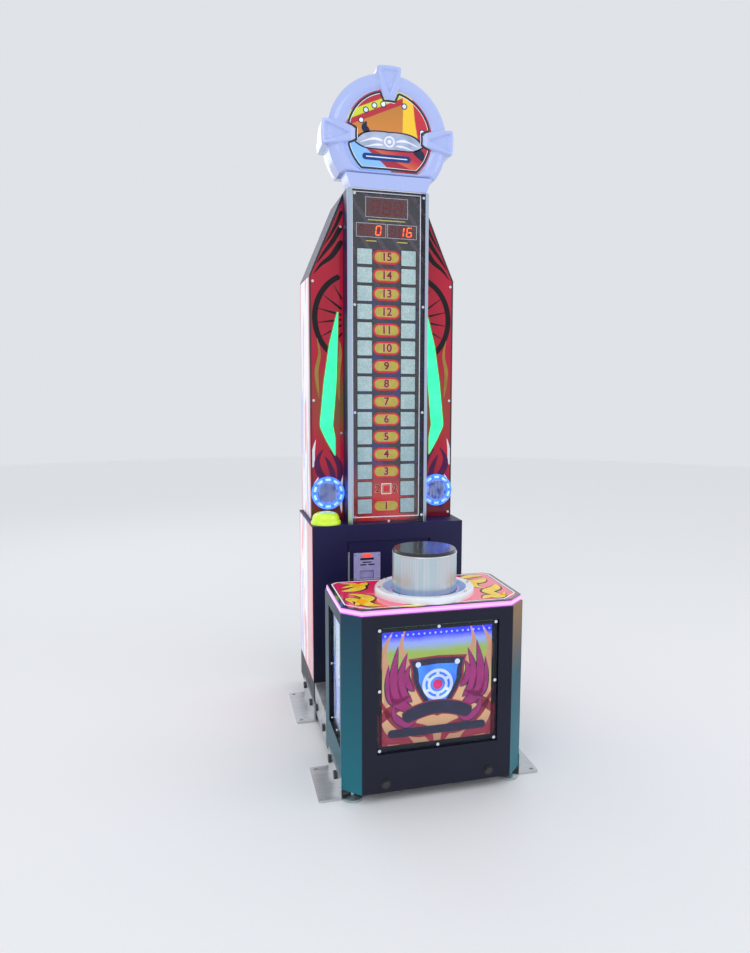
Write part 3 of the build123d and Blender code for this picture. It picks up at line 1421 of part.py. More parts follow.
# ---------------------------------------------------------------- button-head screws of the covers
screw_length = 6.0
with BuildPart() as panel_screws:
    groups = [(plane.offset(sheet - window_depth + cover_thick), window_screw_places(wide))
              for plane, wide in pedestal_windows_planes()]
    groups += [(front_facing(column_front), column_screws),
               (front_facing(wing_plane - wing_panel_thick),
                [(side * x, z) for side in (-1, 1) for x, z in wing_screws])]
    rear_facing = Plane(origin=(0, 0, 0), x_dir=(-1, 0, 0), z_dir=(0, 1, 0))
    groups += [(rear_facing.offset(pedestal_rear), rear_panel_screws),
               (rear_facing.offset(rear_plane + sheet), cover_screws),
               (rear_facing.offset(topper_rear), topper_screws)]
    for side in (-1, 1):
        ring = [(side * speaker_x + speaker_screw_r * math.cos(math.radians(a)),
                 speaker_z + speaker_screw_r * math.sin(math.radians(a))) for a in range(45, 360, 90)]
        groups.append((front_facing(speaker_face), ring))
    table_ring = [(flange_screw_r * math.cos(math.radians(45 * i)),
                   striker_y + flange_screw_r * math.sin(math.radians(45 * i))) for i in range(8)]
    groups.append((Plane.XY.offset(table_top + flange_thick), table_ring))
    for plane, places in groups:
        with BuildSketch(plane):
            with Locations(*places):
                Circle(screw_head_r)
        extrude(amount=screw_head_h)
        with BuildSketch(plane):
            with Locations(*places):
                Circle(screw_r)
        extrude(amount=-screw_length)
finish(panel_screws, "panel_screws")
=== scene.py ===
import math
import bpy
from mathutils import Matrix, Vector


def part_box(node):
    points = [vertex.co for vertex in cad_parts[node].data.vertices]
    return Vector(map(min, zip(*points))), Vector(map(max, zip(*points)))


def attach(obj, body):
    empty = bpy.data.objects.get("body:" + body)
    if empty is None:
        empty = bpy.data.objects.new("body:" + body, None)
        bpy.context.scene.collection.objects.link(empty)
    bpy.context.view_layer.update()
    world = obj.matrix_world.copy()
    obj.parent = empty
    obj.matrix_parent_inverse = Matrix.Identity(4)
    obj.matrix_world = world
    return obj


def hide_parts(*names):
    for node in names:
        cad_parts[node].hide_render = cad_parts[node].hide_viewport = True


bl_info = {
    "name": "Strength Tester Finishes",
    "version": (1, 0, 0),
    "blender": (4, 5, 0),
    "location": "3D View > Sidebar > Tester",
    "description": "Printed art, lamps and surface finishes of a striking-pad strength tester",
    "category": "Object",
}

import bmesh
import bpy
import numpy as np
from bpy.props import FloatProperty, FloatVectorProperty, PointerProperty
from mathutils import Matrix, Vector

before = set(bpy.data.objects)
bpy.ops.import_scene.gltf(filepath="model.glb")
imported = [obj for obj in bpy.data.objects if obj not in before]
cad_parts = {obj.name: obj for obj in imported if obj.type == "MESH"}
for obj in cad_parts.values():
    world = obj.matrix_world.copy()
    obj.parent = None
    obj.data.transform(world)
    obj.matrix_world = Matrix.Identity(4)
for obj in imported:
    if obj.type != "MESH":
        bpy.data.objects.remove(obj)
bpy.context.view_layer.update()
MM = 0.001
TAU = 2 * math.pi


def low(node):
    """Lowest corner of a CAD node."""
    return np.array(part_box(node)[0])


def high(node):
    """Highest corner of a CAD node."""
    return np.array(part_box(node)[1])


def middle(node):
    """Middle of a CAD node's box."""
    return (low(node) + high(node)) / 2


# ---------------------------------------------------------------- shader expressions
class Wire:
    """A node socket used as a number: each Python operator adds one Math node."""

    def __init__(self, finish, socket):
        self.finish = finish
        self.socket = socket

    def __add__(self, other):
        return self.finish.math("ADD", self, other)

    def __radd__(self, other):
        return self.finish.math("ADD", other, self)

    def __sub__(self, other):
        return self.finish.math("SUBTRACT", self, other)

    def __rsub__(self, other):
        return self.finish.math("SUBTRACT", other, self)

    def __mul__(self, other):
        return self.finish.math("MULTIPLY", self, other)

    def __rmul__(self, other):
        return self.finish.math("MULTIPLY", other, self)

    def __truediv__(self, other):
        return self.finish.math("DIVIDE", self, other)

    def __rtruediv__(self, other):
        return self.finish.math("DIVIDE", other, self)

    def __abs__(self):
        return self.finish.math("ABSOLUTE", self)

    def root(self):
        """Square root."""
        return self.finish.math("SQRT", self)

    def fraction(self):
        """Part past the last whole number."""
        return self.finish.math("FRACT", self)

    def least(self, other):
        """The smaller of two."""
        return self.finish.math("MINIMUM", self, other)

    def most(self, other):
        """The larger of two."""
        return self.finish.math("MAXIMUM", self, other)

    def clamp(self):
        """Kept between 0 and 1."""
        return self.most(0.0).least(1.0)

    def step(self, width):
        """0 to 1 as the value passes zero, over the given width."""
        return (self / width + 0.5).clamp()


class Finish:
    """One material: its node tree and its Principled shader."""

    def __init__(self, name):
        self.material = bpy.data.materials.new(name)
        self.material.use_nodes = True
        self.tree = self.material.node_tree
        self.shader = self.tree.nodes["Principled BSDF"]

    def feed(self, socket, value):
        """Link a socket, or set its value."""
        value = value.socket if isinstance(value, Wire) else value
        if isinstance(value, bpy.types.NodeSocket):
            self.tree.links.new(value, socket)
        elif socket.type == "RGBA":
            socket.default_value = (*tuple(value)[:3], 1.0)
        else:
            socket.default_value = value

    def node(self, kind, settings=None, inputs=None):
        """Any node: its settings are set first, then its sockets get values or links."""
        made = self.tree.nodes.new(kind)
        for key, value in (settings or {}).items():
            setattr(made, key, value)
        for key, value in (inputs or {}).items():
            self.feed(made.inputs[key], value)
        return made

    def math(self, operation, *values):
        """One Math node."""
        made = self.node("ShaderNodeMath", {"operation": operation}, dict(enumerate(values)))
        return Wire(self, made.outputs[0])

    def spot(self):
        """The point of the surface, in the object's own metres."""
        return self.node("ShaderNodeTexCoord").outputs["Object"]

    def place(self):
        """X, Y and Z of the point of the surface, as numbers."""
        split = self.node("ShaderNodeSeparateXYZ", None, {0: self.spot()})
        return [Wire(self, out) for out in split.outputs]

    def vector(self, x, y, z):
        """A vector of three numbers."""
        return self.node("ShaderNodeCombineXYZ", None, {0: x, 1: y, 2: z}).outputs[0]

    def noise(self, vector, scale, detail=3.0, roughness=0.55):
        """Cloudy noise, about 0 to 1."""
        made = self.node("ShaderNodeTexNoise", None, {"Vector": vector, "Scale": scale,
                                                      "Detail": detail, "Roughness": roughness})
        return Wire(self, made.outputs[0])

    def cells(self, vector, scale, output="Distance"):
        """Cell pattern: the distance to the nearest point, or a shade for each cell."""
        made = self.node("ShaderNodeTexVoronoi", None, {"Vector": vector, "Scale": scale})
        return Wire(self, made.outputs[output])

    def blend(self, factor, first, second):
        """Colour mix: first where the factor is 0, second where it is 1."""
        made = self.node("ShaderNodeMix", {"data_type": "RGBA"}, {0: factor, 6: first, 7: second})
        return made.outputs[2]

    def bump(self, height, distance, strength=1.0):
        """Fine relief, as a normal."""
        made = self.node("ShaderNodeBump", None, {"Height": height, "Distance": distance,
                                                  "Strength": strength})
        return made.outputs[0]

    def set(self, **sockets):
        """Values or links of the shader's own sockets."""
        for key, value in sockets.items():
            self.feed(self.shader.inputs[key.replace("_", " ")], value)

    def shine(self, colour, strength, **sockets):
        """A colour that is also lit from behind."""
        self.set(Base_Color=colour, Emission_Color=colour, Emission_Strength=strength, **sockets)


PEDESTAL_BACK = -0.14     # y between the pedestal and the tower
CORNER_X = 0.1995         # the pedestal's cut corners start this far from the middle
CORNER_Y = -0.3985        # and in front of this y
FLANK_X = 0.2435          # just inside the pedestal's sides


def powder_coat(settings):
    """Satin powder coat: fine orange peel and a slight mottle, with painted reflections on the cut corners
    and sides (teal low down, darker blue higher, bronze at the top right) and a painted indigo glow that
    rises up the rear cabinet.
    """
    finish = Finish("satin_powder_coat")
    x, y, z = finish.place()
    spot = finish.spot()
    peel = finish.noise(spot, 900.0, 2.0)
    mottle = finish.noise(spot, 9.0, 4.0)
    pedestal = (PEDESTAL_BACK - y).step(0.02)
    # Painted reflections: the cut corners, and more weakly the pedestal's sides, take teal low down, darker
    # blue higher and bronze at the top right.
    corner = (abs(x) - CORNER_X).step(0.003) * (CORNER_Y - y).step(0.003)
    flank = (abs(x) - FLANK_X).step(0.001) * pedestal
    right = x.step(0.02)
    bronze = right * ((z - 0.3) / 0.16).clamp()
    teal_reflection = finish.blend((z / 0.5).clamp(), settings.corner_reflection_low, settings.corner_reflection_high)
    warm = finish.blend(bronze, teal_reflection, settings.corner_reflection_bronze)
    # Painted light: an indigo glow on the rear cabinet, growing stronger with height.
    rear_face = (1 - pedestal) * (z - 0.02).step(0.02)
    plain = finish.blend(mottle, settings.powder_dark, settings.powder_light)
    cabinet = finish.blend(rear_face * ((z - 0.1) / 0.6).clamp(), plain, settings.cabinet_glow)
    colour = finish.blend((corner.most(flank * 0.75)) * 0.85, cabinet, warm)
    finish.set(Base_Color=colour, Roughness=0.36 + mottle * 0.12, Specular_IOR_Level=0.32,
               Normal=finish.bump(peel, 0.00012, 0.5))
    return finish


def metal(name, colour, tint, roughness, grain=(40.0, 40.0, 40.0), spread=0.15, depth=0.0):
    """Bare metal: two close tints and a roughness that follow a grain stretched along one direction."""
    finish = Finish(name)
    x, y, z = finish.place()
    lines = finish.noise(finish.vector(x * grain[0], y * grain[1], z * grain[2]), 1.0, 4.0)
    finish.set(Base_Color=finish.blend(lines, colour, tint), Metallic=1.0,
               Roughness=roughness + (lines - 0.5) * spread)
    if depth:
        finish.set(Normal=finish.bump(lines, depth, 0.6))
    return finish


def galvanised():
    """Hot-dip zinc: flat crystals of slightly different grey, with dull and bright patches."""
    finish = Finish("mottled_galvanised")
    spot = finish.spot()
    crystal = finish.cells(spot, 70.0, "Color")
    patch = finish.noise(spot, 22.0, 5.0)
    shade = (crystal * 0.55 + patch * 0.45).clamp()
    finish.set(Base_Color=finish.blend(shade, (0.34, 0.36, 0.38), (0.8, 0.82, 0.84)), Metallic=0.85,
               Roughness=0.3 + patch * 0.3, Normal=finish.bump(crystal, 0.00006, 0.4))
    return finish


def plastic(name, colour, tint, roughness, coat=0.0, glow=0.0, scale=60.0, depth=0.00004):
    """Moulded plastic or rubber: two close tints in a cloudy mix, a fine grain, and a glow, which is a
    lamp's light on lit parts and painted light on parts that are no lamp.
    """
    finish = Finish(name)
    spot = finish.spot()
    cloud = finish.noise(spot, scale, 3.0)
    grain = finish.noise(spot, scale * 22.0, 2.0)
    shade = finish.blend(cloud, colour, tint)
    finish.set(Base_Color=shade, Roughness=roughness + (cloud - 0.5) * roughness * 0.4, Coat_Weight=coat,
               Coat_Roughness=0.05, Normal=finish.bump(grain, depth, 0.5))
    if glow:
        finish.set(Emission_Color=shade, Emission_Strength=glow)
    return finish


def clear_sheet(name):
    """Clear polished acrylic: a film that shows mostly at grazing angles, with faint wipe marks."""
    finish = Finish(name)
    x, y, z = finish.place()
    wipe = finish.noise(finish.vector(x * 6.0, y * 6.0, z * 1.5), 3.0, 4.0)
    fresnel = Wire(finish, finish.node("ShaderNodeFresnel", None, {"IOR": 1.49}).outputs[0])
    finish.set(Base_Color=finish.blend(wipe, (0.86, 0.93, 1.0), (1.0, 1.0, 1.0)), Metallic=1.0,
               Roughness=0.04 + wipe * 0.05, Alpha=(fresnel * 0.42).clamp())
    return finish


def ink(name, colour, tint, glow=0.0, roughness=0.22, scale=26.0):
    """Printed ink: a soft two-tint wash with a fine halftone grain under a gloss film."""
    finish = Finish(name)
    spot = finish.spot()
    wash = finish.noise(spot, scale, 2.0)
    dots = finish.cells(spot, 1400.0)
    shade = finish.blend((wash * 1.6 - 0.3 + (dots - 0.4) * 0.12).clamp(), colour, tint)
    finish.set(Base_Color=shade, Roughness=roughness + wash * 0.06, Specular_IOR_Level=0.3)
    if glow:
        finish.set(Emission_Color=shade, Emission_Strength=glow)
    return finish


# ---------------------------------------------------------------- shapes
def heading(degrees):
    """Unit direction at an angle that opens upwards from the right."""
    return np.array([math.cos(math.radians(degrees)), math.sin(math.radians(degrees))])


def mesh_piece(name, points, faces, finish, body, smooth):
    """One object of points and faces, with its finish, that rides a body of the frame."""
    mesh = bpy.data.meshes.new(name)
    mesh.from_pydata(points.reshape(-1, 3), [], faces)
    work = bmesh.new()
    work.from_mesh(mesh)
    bmesh.ops.remove_doubles(work, verts=work.verts, dist=2e-6)
    bmesh.ops.dissolve_degenerate(work, dist=1e-6, edges=work.edges)
    bmesh.ops.recalc_face_normals(work, faces=work.faces)
    work.to_mesh(mesh)
    work.free()
    mesh.polygons.foreach_set("use_smooth", np.full(len(mesh.polygons), smooth))
    mesh.materials.append(finish.material)
    piece = bpy.data.objects.new(name, mesh)
    bpy.context.scene.collection.objects.link(piece)
    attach(piece, body)
    return piece


def grid_faces(rows, columns, round_rows, round_columns):
    """Quads of a grid of points, closed round in either direction where asked."""
    i, j = np.meshgrid(np.arange(rows if round_rows else rows - 1),
                       np.arange(columns if round_columns else columns - 1), indexing="ij")
    i_next, j_next = (i + 1) % rows, (j + 1) % columns
    quads = [i * columns + j, i_next * columns + j, i_next * columns + j_next, i * columns + j_next]
    return np.stack(quads, -1).reshape(-1, 4)


def surfaces(name, grids, finish, body="cabinet", round_rows=False, round_columns=True, smooth=False):
    """One piece of several grids of points, each (rows, columns, 3)."""
    points, faces, count = [], [], 0
    for grid in grids:
        rows, columns = grid.shape[:2]
        faces.append(grid_faces(rows, columns, round_rows, round_columns) + count)
        points.append(grid.reshape(-1, 3))
        count += rows * columns
    return mesh_piece(name, np.concatenate(points), np.concatenate(faces).tolist(), finish, body,
                      smooth)


def smooth_path(knots, count=28):
    """Points along a curve through the knots: a cubic through each four neighbours, with ends repeated."""
    knots = np.asarray(knots, float)
    padded = np.concatenate([knots[:1], knots, knots[-1:]])
    where = np.linspace(0, len(knots) - 1 - 1e-9, count)
    k = where.astype(int)
    t = (where - k)[:, None]
    a, b, c, d = padded[k], padded[k + 1], padded[k + 2], padded[k + 3]
    return 0.5 * (2 * b + (c - a) * t + (2 * a - 5 * b + 4 * c - d) * t ** 2
                  + (3 * b - a - 3 * c + d) * t ** 3)


class Sheet:
    """A flat panel: an origin, its two directions and the way it faces, all in metres."""

    def __init__(self, origin, across, up, out):
        self.origin = np.array(origin, float)
        self.across = np.array(across, float)
        self.up = np.array(up, float)
        self.out = np.array(out, float)

    def point(self, u, v, lift):
        """World points of panel coordinates given in millimetres."""
        u, v, lift = np.broadcast_arrays(u, v, lift)
        return self.origin + MM * (u[..., None] * self.across + v[..., None] * self.up
                                   + lift[..., None] * self.out)


def front_sheet(x, y, z):
    """A panel that faces the player, with its origin at a point in metres."""
    return Sheet((x, y, z), (1, 0, 0), (0, 0, 1), (0, -1, 0))


def band(sheet, path, widths, lift=0.3, thick=0.25):
    """A flat printed shape: a four-cornered section as wide as `widths` says, carried along a path."""
    path = np.asarray(path, float)
    widths = np.asarray(widths, float)
    along = np.gradient(path, axis=0)
    along /= np.linalg.norm(along, axis=1, keepdims=True)
    side = np.stack([-along[:, 1], along[:, 0]], 1)
    half = (widths / 2)[:, None] * side
    left, right = path - half, path + half
    corners = [(left, lift - thick), (left, lift), (right, lift), (right, lift - thick)]
    return np.stack([sheet.point(edge[:, 0], edge[:, 1], np.float64(level)) for edge, level in corners], 1)


def flame(sheet, knots, width, lift=0.3, count=28, full=0.35):
    """A flame tongue: a smooth path whose width grows to `full` of its length and tapers to a point."""
    t = np.linspace(0, 1, count)
    swell = np.where(t < full, np.sin(t / full * math.pi / 2),
                     np.cos((t - full) / (1 - full) * math.pi / 2))
    return band(sheet, smooth_path(knots, count), width * swell, lift)


def mirrored(sheet, tongues, lift, margin=0.0, full=0.35):
    """Flames on both sides of the middle line, each from its path and width on the right."""
    return [flame(sheet, [(m * u, v) for u, v in knots], width + margin, lift, full=full)
            for m in (-1, 1) for knots, width in tongues]


def oval(sheet, u, v, wide, tall, lift=0.3, count=40):
    """A disc or an oval: its width follows the ellipse along its height."""
    t = np.sin(np.linspace(-math.pi / 2, math.pi / 2, count))
    widths = wide * np.sqrt(np.maximum(1 - t ** 2, 0.0))
    return band(sheet, np.stack([np.full(count, u), v + t * tall / 2], 1), widths, lift)


def pill(sheet, u, v, wide, tall, lift=0.3, count=40):
    """A bar with half-round ends: its height follows the circle near each end."""
    radius = tall / 2
    s = np.sin(np.linspace(-math.pi / 2, math.pi / 2, count)) * wide / 2
    reach = np.maximum(np.abs(s) - (wide / 2 - radius), 0.0)
    tallness = 2 * np.sqrt(np.maximum(radius ** 2 - reach ** 2, 0.0))
    return band(sheet, np.stack([u + s, np.full(count, v)], 1), tallness, lift)


def block(sheet, u, v, wide, tall, lift=0.3):
    """A plain bar: a straight path of four points whose first and last are closed to no width."""
    s = np.array([-0.5, -0.4999, 0.4999, 0.5]) * wide
    return band(sheet, np.stack([u + s, np.full(4, v)], 1), np.array([0.0, tall, tall, 0.0]), lift)


def ring_band(sheet, u, v, radius, width, lift=0.3, count=72):
    """A flat ring: a band of one width carried round a circle."""
    angle = np.linspace(0.0, TAU, count)
    path = np.stack([u + radius * np.cos(angle), v + radius * np.sin(angle)], 1)
    return band(sheet, path, np.full(count, float(width)), lift)


def loop_line(sheet, corners, width, lift=0.3, thick=0.25):
    """A line round a closed outline: a four-cornered section carried along it with mitred corners."""
    path = np.asarray(corners, float)
    ahead = np.roll(path, -1, 0) - path
    behind = path - np.roll(path, 1, 0)
    ahead /= np.linalg.norm(ahead, axis=1, keepdims=True)
    behind /= np.linalg.norm(behind, axis=1, keepdims=True)
    along = ahead + behind
    along /= np.linalg.norm(along, axis=1, keepdims=True)
    side = np.stack([-along[:, 1], along[:, 0]], 1)
    mitre = width / 2 / np.maximum((along * ahead).sum(1, keepdims=True), 0.3)
    left, right = path - side * mitre, path + side * mitre
    corners = [(left, lift - thick), (left, lift), (right, lift), (right, lift - thick)]
    return np.stack([sheet.point(edge[:, 0], edge[:, 1], np.float64(level)) for edge, level in corners], 1)


def box_line(sheet, u, v, wide, tall, width, lift, thick=0.25):
    """A line round a rectangle, given by its middle and its two sizes."""
    corners = [(u + m * wide / 2, v + n * tall / 2) for m, n in ((-1, -1), (1, -1), (1, 1), (-1, 1))]
    return loop_line(sheet, corners, width, lift, thick)


def turned_grid(centre, axis, profile, steps=96):
    """A turned surface: a (radius, height) profile in millimetres carried round an axis."""
    axis = np.asarray(axis, float)
    side = np.cross(axis, (0.31, 0.52, 0.79))
    side /= np.linalg.norm(side)
    other = np.cross(axis, side)
    angle = np.linspace(0, TAU, steps, endpoint=False)[:, None, None]
    spoke = np.cos(angle) * side + np.sin(angle) * other
    profile = np.asarray(profile, float)
    return np.asarray(centre) + MM * (profile[None, :, :1] * spoke + profile[None, :, 1:] * axis)


def bead(radius, width, base, rise, count=20):
    """Closed profile of a half-round bead that stands on a flat face."""
    t = np.linspace(0, math.pi, count)
    arch = np.stack([radius + width / 2 * np.cos(t), base + rise * np.sin(t)], 1)
    return np.concatenate([arch, [[radius - width / 2, base - 0.2], [radius + width / 2, base - 0.2]]])


def paint(finish, *nodes):
    """Give CAD nodes a finish."""
    for name in nodes:
        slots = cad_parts[name].data.materials
        slots.clear()
        slots.append(finish.material)


def numeral_mesh(text, size, weight):
    """Mesh of a short number, lying flat and centred on the origin."""
    curve = bpy.data.curves.new("number", "FONT")
    curve.body = text
    curve.size = size
    curve.offset = weight
    curve.align_x = "CENTER"
    curve.align_y = "CENTER"
    curve.extrude = 0.00015
    curve.resolution_u = 4
    holder = bpy.data.objects.new("number", curve)
    bpy.context.scene.collection.objects.link(holder)
    bpy.context.view_layer.update()
    mesh = bpy.data.meshes.new_from_object(holder.evaluated_get(bpy.context.evaluated_depsgraph_get()))
    bpy.data.objects.remove(holder)
    bpy.data.curves.remove(curve)
    return mesh


def numerals(name, marks, size, weight, y, finish):
    """One piece of several numbers on a plane that faces the player; marks are (text, x, z) in metres."""
    work = bmesh.new()
    for text, x, z in marks:
        mesh = numeral_mesh(text, size, weight)
        mesh.transform(Matrix.Translation((x, y, z)) @ Matrix.Rotation(math.pi / 2, 4, "X"))
        work.from_mesh(mesh)
        bpy.data.meshes.remove(mesh)
    bmesh.ops.remove_doubles(work, verts=work.verts, dist=1e-6)
    bmesh.ops.recalc_face_normals(work, faces=work.faces)
    mesh = bpy.data.meshes.new(name)
    work.to_mesh(mesh)
    work.free()
    mesh.materials.append(finish.material)
    piece = bpy.data.objects.new(name, mesh)
    bpy.context.scene.collection.objects.link(piece)
    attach(piece, "cabinet")


# ---------------------------------------------------------------- settings
def colour_property(label, note, default):
    """A colour setting."""
    return FloatVectorProperty(name=label, description=note, subtype="COLOR", size=3, min=0.0, max=1.0,
                               default=default)


class TesterColours(bpy.types.PropertyGroup):
    """Colours of the machine's coatings, inks and lamps."""

    powder_dark: colour_property("Powder coat", "Darker tint of the coating", (0.003, 0.005, 0.017))
    powder_light: colour_property("Powder coat light", "Lighter tint of the coating",
                                  (0.0075, 0.011, 0.03))
    # Painted light: an indigo glow laid over the rear cabinet's coat.
    cabinet_glow: colour_property("Cabinet", "Indigo cast of the rear cabinet", (0.014, 0.012, 0.08))
    # Painted reflections on the pedestal's cut corners and sides, not colours of the coat.
    corner_reflection_low: colour_property("Corner low", "Cool cast low on the corners", (0.004, 0.2, 0.26))
    corner_reflection_high: colour_property("Corner high", "Cool cast high on the corners", (0.006, 0.05, 0.1))
    corner_reflection_bronze: colour_property("Corner bronze", "Warm cast at the top right", (0.3, 0.17, 0.06))
    topper: colour_property("Topper", "Vacuum-formed topper", (0.41, 0.5, 0.89))
    crimson: colour_property("Crimson ink", "Ground of the wing prints", (0.42, 0.006, 0.026))
    mint: colour_property("Mint ink", "Back-lit bolts on the wings", (0.02, 0.82, 0.3))
    glow: colour_property("Edge light", "Table edge", (1.0, 0.3, 0.95))
    ring: colour_property("Speaker light", "Rings round the speakers", (0.02, 0.13, 1.0))
    figure: colour_property("Lit figures", "Lit bars of the score displays", (1.0, 0.03, 0.01))


class TesterSizes(bpy.types.PropertyGroup):
    """Sizes of the details and strengths of the lamps."""

    line: FloatProperty(name="Line", description="Width of the printed border lines", subtype="DISTANCE",
                        unit="LENGTH", default=0.0032, min=0.001, max=0.01)
    numeral: FloatProperty(name="Numeral", description="Height of the scale numbers", subtype="DISTANCE",
                           unit="LENGTH", default=0.034, min=0.01, max=0.05)
    lamp: FloatProperty(name="Lamps", description="Strength of the lit parts", default=1.0, min=0.0,
                        max=20.0)
    key: FloatProperty(name="Key light", description="Power of the large front light", subtype="POWER",
                       default=21.0, min=0.0, max=1000.0)


def colours():
    """The scene's colours."""
    return bpy.context.scene.tester_colours


def sizes():
    """The scene's sizes and lamp strengths."""
    return bpy.context.scene.tester_sizes


# ---------------------------------------------------------------- stage
CAMERA_PLACE = (-0.5554, -2.2346, 1.0553)
CAMERA_TURN = (16.2, -6.9, 0.5)       # yaw, pitch and roll in degrees
CAMERA_LENS = 28.99
CAMERA_SHIFT = (-0.0551, 0.0013)
AIR_COLOUR = (0.93, 0.96, 1.0, 1.0)
AIR_STRENGTH = 0.8
LIGHT_AIM = Vector((0, 0, 0.9))
FLOOR_REACH = 9.0
FLOOR_DROP = 0.0004                   # the floor lies this far under the feet


class TESTER_OT_stage(bpy.types.Operator):
    """Camera, pale floor, plain light and surroundings"""

    bl_idname = "tester.stage"
    bl_label = "Stage"

    def execute(self, context):
        scene = context.scene
        camera = bpy.data.cameras.new("camera")
        camera.sensor_width = 36.0
        camera.lens = CAMERA_LENS
        camera.shift_x, camera.shift_y = CAMERA_SHIFT
        holder = bpy.data.objects.new("camera", camera)
        scene.collection.objects.link(holder)
        yaw, pitch, roll = (math.radians(angle) for angle in CAMERA_TURN)
        ahead = Vector((math.sin(yaw) * math.cos(pitch), math.cos(yaw) * math.cos(pitch), math.sin(pitch)))
        right = ahead.cross(Vector((0, 0, 1))).normalized()
        up = right.cross(ahead)
        across = math.cos(roll) * right + math.sin(roll) * up
        above = -math.sin(roll) * right + math.cos(roll) * up
        turn = Matrix((across, above, -ahead)).transposed().to_4x4()
        holder.matrix_world = Matrix.Translation(CAMERA_PLACE) @ turn
        scene.camera = holder
        scene.view_settings.view_transform = "Standard"

        world = bpy.data.worlds.new("surroundings")
        scene.world = world
        world.use_nodes = True
        air = world.node_tree.nodes["Background"].inputs
        air["Color"].default_value = AIR_COLOUR
        air["Strength"].default_value = AIR_STRENGTH

        for name, place, size, power, tint in (
                ("key_light", (-1.6, -3.0, 3.2), 2.2, sizes().key, (1.0, 1.0, 1.0)),
                ("side_light", (2.8, -1.6, 2.2), 1.8, sizes().key * 0.5, (0.9, 0.94, 1.0)),
                ("back_light", (-1.2, 3.2, 2.8), 2.0, sizes().key * 0.5, (1.0, 0.98, 0.96))):
            lamp = bpy.data.lights.new(name, "AREA")
            lamp.size = size
            lamp.energy = power
            lamp.color = tint
            light = bpy.data.objects.new(name, lamp)
            scene.collection.objects.link(light)
            light.location = place
            light.rotation_euler = (LIGHT_AIM - Vector(place)).to_track_quat("-Z", "Y").to_euler()

        paper = Finish("pale_floor")
        speck = paper.noise(paper.spot(), 180.0, 2.0)
        paper.set(Base_Color=paper.blend(speck, (0.93, 0.935, 0.95), (0.97, 0.97, 0.975)),
                  Roughness=0.55 + speck * 0.1)
        angle = np.linspace(0, TAU, 96, endpoint=False)
        spoke = np.stack([np.cos(angle), np.sin(angle), np.zeros(96)], 1)
        disc = np.linspace(0.0, 1.0, 4)[:, None, None] * FLOOR_REACH * spoke[None] - (0, 0, FLOOR_DROP)
        mesh = bpy.data.meshes.new("floor")
        mesh.from_pydata(disc[1:].reshape(-1, 3), [], grid_faces(3, 96, False, True).tolist()
                         + [list(range(96))])
        mesh.materials.append(paper.material)
        floor = bpy.data.objects.new("floor", mesh)
        scene.collection.objects.link(floor)
        return {"FINISHED"}


# ---------------------------------------------------------------- cabinet
class TESTER_OT_cabinet(bpy.types.Operator):
    """Coatings and bare metals of the cabinet, base, doors and inner parts"""

    bl_idname = "tester.cabinet"
    bl_label = "Cabinet Finishes"

    def execute(self, context):
        tint = colours()
        paint(powder_coat(tint), "pedestal_shell", "pedestal_rear_panel", "lower_cabinet", "upper_cabinet",
              "upper_rear_cover", "column_shell", "coin_door", "rear_door")
        paint(galvanised(), "base_frame", "power_supply")
        paint(metal("zinc_bracket", (0.42, 0.44, 0.46), (0.78, 0.8, 0.82), 0.34, (9, 160, 160), 0.2),
              "floor_brackets")
        paint(plastic("black_oxide", (0.01, 0.011, 0.014), (0.035, 0.037, 0.042), 0.42, 0.2), "frame_bolts")
        paint(metal("zinc_foot", (0.36, 0.44, 0.47), (0.62, 0.7, 0.74), 0.3, (60, 60, 60)), "levelling_feet")
        paint(plastic("frame_paint", (0.02, 0.023, 0.026), (0.045, 0.05, 0.055), 0.4, 0.2),
              "striker_frame", "cash_box")
        paint(metal("bush_bronze", (0.48, 0.29, 0.1), (0.75, 0.52, 0.24), 0.28, (30, 30, 300)),
              "guide_bushes")
        paint(plastic("stop_rubber", (0.012, 0.012, 0.012), (0.03, 0.03, 0.03), 0.75), "stop_bumpers")
        paint(metal("ground_shaft", (0.55, 0.56, 0.58), (0.8, 0.81, 0.83), 0.16, (20, 20, 900)),
              "striker_shaft")
        paint(metal("oiled_spring", (0.2, 0.2, 0.22), (0.42, 0.42, 0.45), 0.3, (90, 90, 90)),
              "striker_spring")
        paint(plastic("moulded_black", (0.01, 0.01, 0.012), (0.03, 0.03, 0.034), 0.5), "hit_sensor",
              "speaker_drivers", "coin_acceptor", "power_inlet")
        paint(metal("dull_hinge", (0.26, 0.27, 0.29), (0.5, 0.51, 0.54), 0.34, (40, 40, 200)),
              "door_hinges", "coin_door_leaf", "rear_door_leaf")
        paint(metal("chromed_lock", (0.7, 0.71, 0.74), (0.9, 0.91, 0.93), 0.12, (80, 80, 80), 0.08),
              "coin_door_lock", "rear_door_lock")
        paint(metal("screw_steel", (0.6, 0.66, 0.76), (0.9, 0.93, 0.98), 0.22, (300, 300, 300)),
              "panel_screws")
        paint(plastic("board_mask", (0.008, 0.075, 0.035), (0.03, 0.15, 0.07), 0.35, 0.4), "control_board",
              "lamp_boards")
        paint(plastic("switch_red", (0.35, 0.01, 0.012), (0.75, 0.03, 0.03), 0.25, 0.5, 0.5), "power_switch")
        paint(metal("anodised_trim", (0.36, 0.46, 0.62), (0.66, 0.76, 0.9), 0.3, (500, 500, 3), 0.1),
              "column_corner_trims")
        paint(plastic("gloss_trim", (0.006, 0.006, 0.008), (0.018, 0.018, 0.022), 0.16, 0.8),
              "wing_edge_trims")
        return {"FINISHED"}


